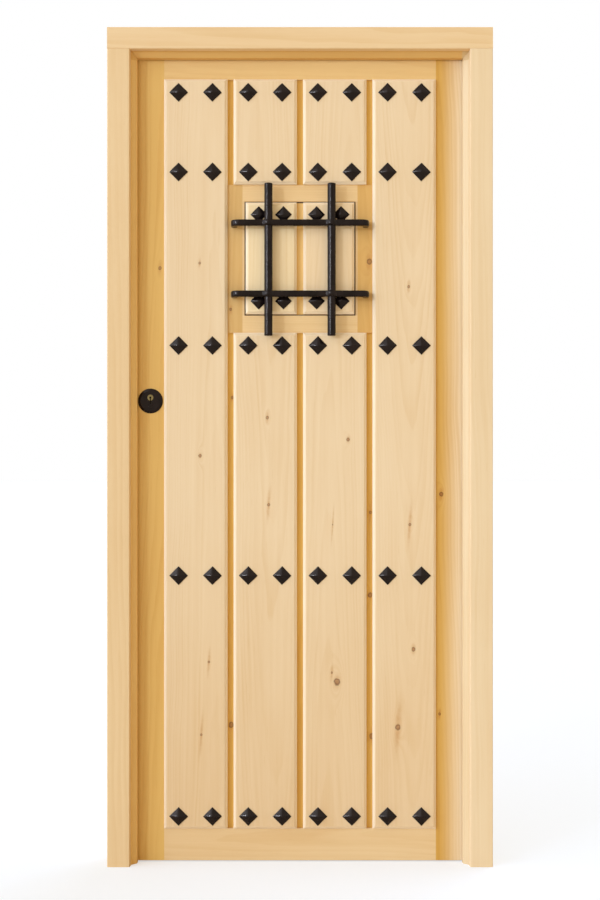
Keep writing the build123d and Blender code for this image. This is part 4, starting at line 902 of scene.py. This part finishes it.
# The seal fills most of the gap round the shutter: a dark piece put there to stand in for the shade in the
# gap.
LIP = 2.6 * MM
low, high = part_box("window_linings")
opening = (140.0 * MM, low[2], high[2])
touch = (137.4 * MM, low[2] + LIP, high[2] - LIP)
add_piece("window_seal", gap_seal(opening, touch, 52.5 * MM, 57.0 * MM), SEAL, "leaf", [],
          40.0)


# Studio

def studio_floor():
    """A wide pale floor. The camera sees more light on it than falls there, so that it
    meets the white background, and in a colour that keeps the door's shadow grey."""
    half = 40.0
    pale = (0.80, 0.77, 0.72, 1)
    seen_pale = (0.47, 0.49, 0.53, 1)
    camera_lift = 0.53
    corners = [(-half, -half, 0), (half, -half, 0), (half, half, 0), (-half, half, 0)]
    mesh = bpy.data.meshes.new("floor")
    mesh.from_pydata(corners, [], [(0, 1, 2, 3)])
    material = bpy.data.materials.new("floor")
    material.use_nodes = True
    w = Wiring(material.node_tree)
    w.tree.nodes.clear()
    result = w.put("ShaderNodeOutputMaterial")
    seen = w.put("ShaderNodeLightPath").outputs["Is Camera Ray"]
    plain = w.put("ShaderNodeBsdfDiffuse", {"Color": w.blend(seen, pale, seen_pale)})
    lift = w.put("ShaderNodeEmission", {"Color": (1, 1, 1, 1), "Strength": w.times(seen, camera_lift)})
    both = w.put("ShaderNodeAddShader", {0: plain.outputs[0], 1: lift.outputs[0]})
    w.tree.links.new(both.outputs[0], result.inputs["Surface"])
    mesh.materials.append(material)
    floor = bpy.data.objects.new("floor", mesh)
    bpy.context.scene.collection.objects.link(floor)


def studio_background(level, color):
    """White where the camera or a mirror looks, and a plain warm fill elsewhere."""
    world = bpy.data.worlds.new("studio")
    bpy.context.scene.world = world
    world.use_nodes = True
    w = Wiring(world.node_tree)
    w.tree.nodes.clear()
    rays = w.put("ShaderNodeLightPath").outputs
    seen = w.math("MAXIMUM", rays["Is Camera Ray"], rays["Is Glossy Ray"])
    seen = w.math("MAXIMUM", seen, rays["Is Transmission Ray"])
    soft = w.put("ShaderNodeBackground", {"Color": color, "Strength": level})
    white = w.put("ShaderNodeBackground", {"Color": (1, 1, 1, 1), "Strength": 1.0})
    mix = w.put("ShaderNodeMixShader", {0: seen, 1: soft.outputs[0], 2: white.outputs[0]})
    result = w.put("ShaderNodeOutputWorld")
    w.tree.links.new(mix.outputs[0], result.inputs["Surface"])


def far_lamp(name, toward, spread, strength):
    """A large cool lamp so far off that it lights the whole door alike. toward is the
    way from the door to the lamp, and spread the lamp's width as an angle in degrees."""
    lamp = bpy.data.lights.new(name, "SUN")
    lamp.color = (0.53, 0.70, 1.0)
    lamp.angle = math.radians(spread)
    lamp.energy = strength
    holder = bpy.data.objects.new(name, lamp)
    holder.location = [5.0 * part for part in toward]
    tilt = math.atan2(math.hypot(toward[0], toward[1]), toward[2])
    holder.rotation_euler = (tilt, 0.0, math.atan2(toward[1], toward[0]) + math.pi / 2)
    bpy.context.scene.collection.objects.link(holder)


# Two wide lamps in front keep the bars' shadows soft, and a narrow low one puts the
# lit line on the upright bars. The back has a pair of its own.
studio_floor()
studio_background(0.62, (1.0, 0.81, 0.46, 1.0))
far_lamp("key aside", (-0.90, -0.25, 0.34), 52.0, 2.0)
far_lamp("key ahead", (-0.55, -0.76, 0.34), 52.0, 1.1)
far_lamp("key glint", (-0.66, -0.74, 0.14), 6.0, 0.95)
far_lamp("key behind", (0.68, 0.60, 0.42), 78.0, 2.4)
far_lamp("glint behind", (0.68, 0.72, 0.14), 9.0, 0.45)
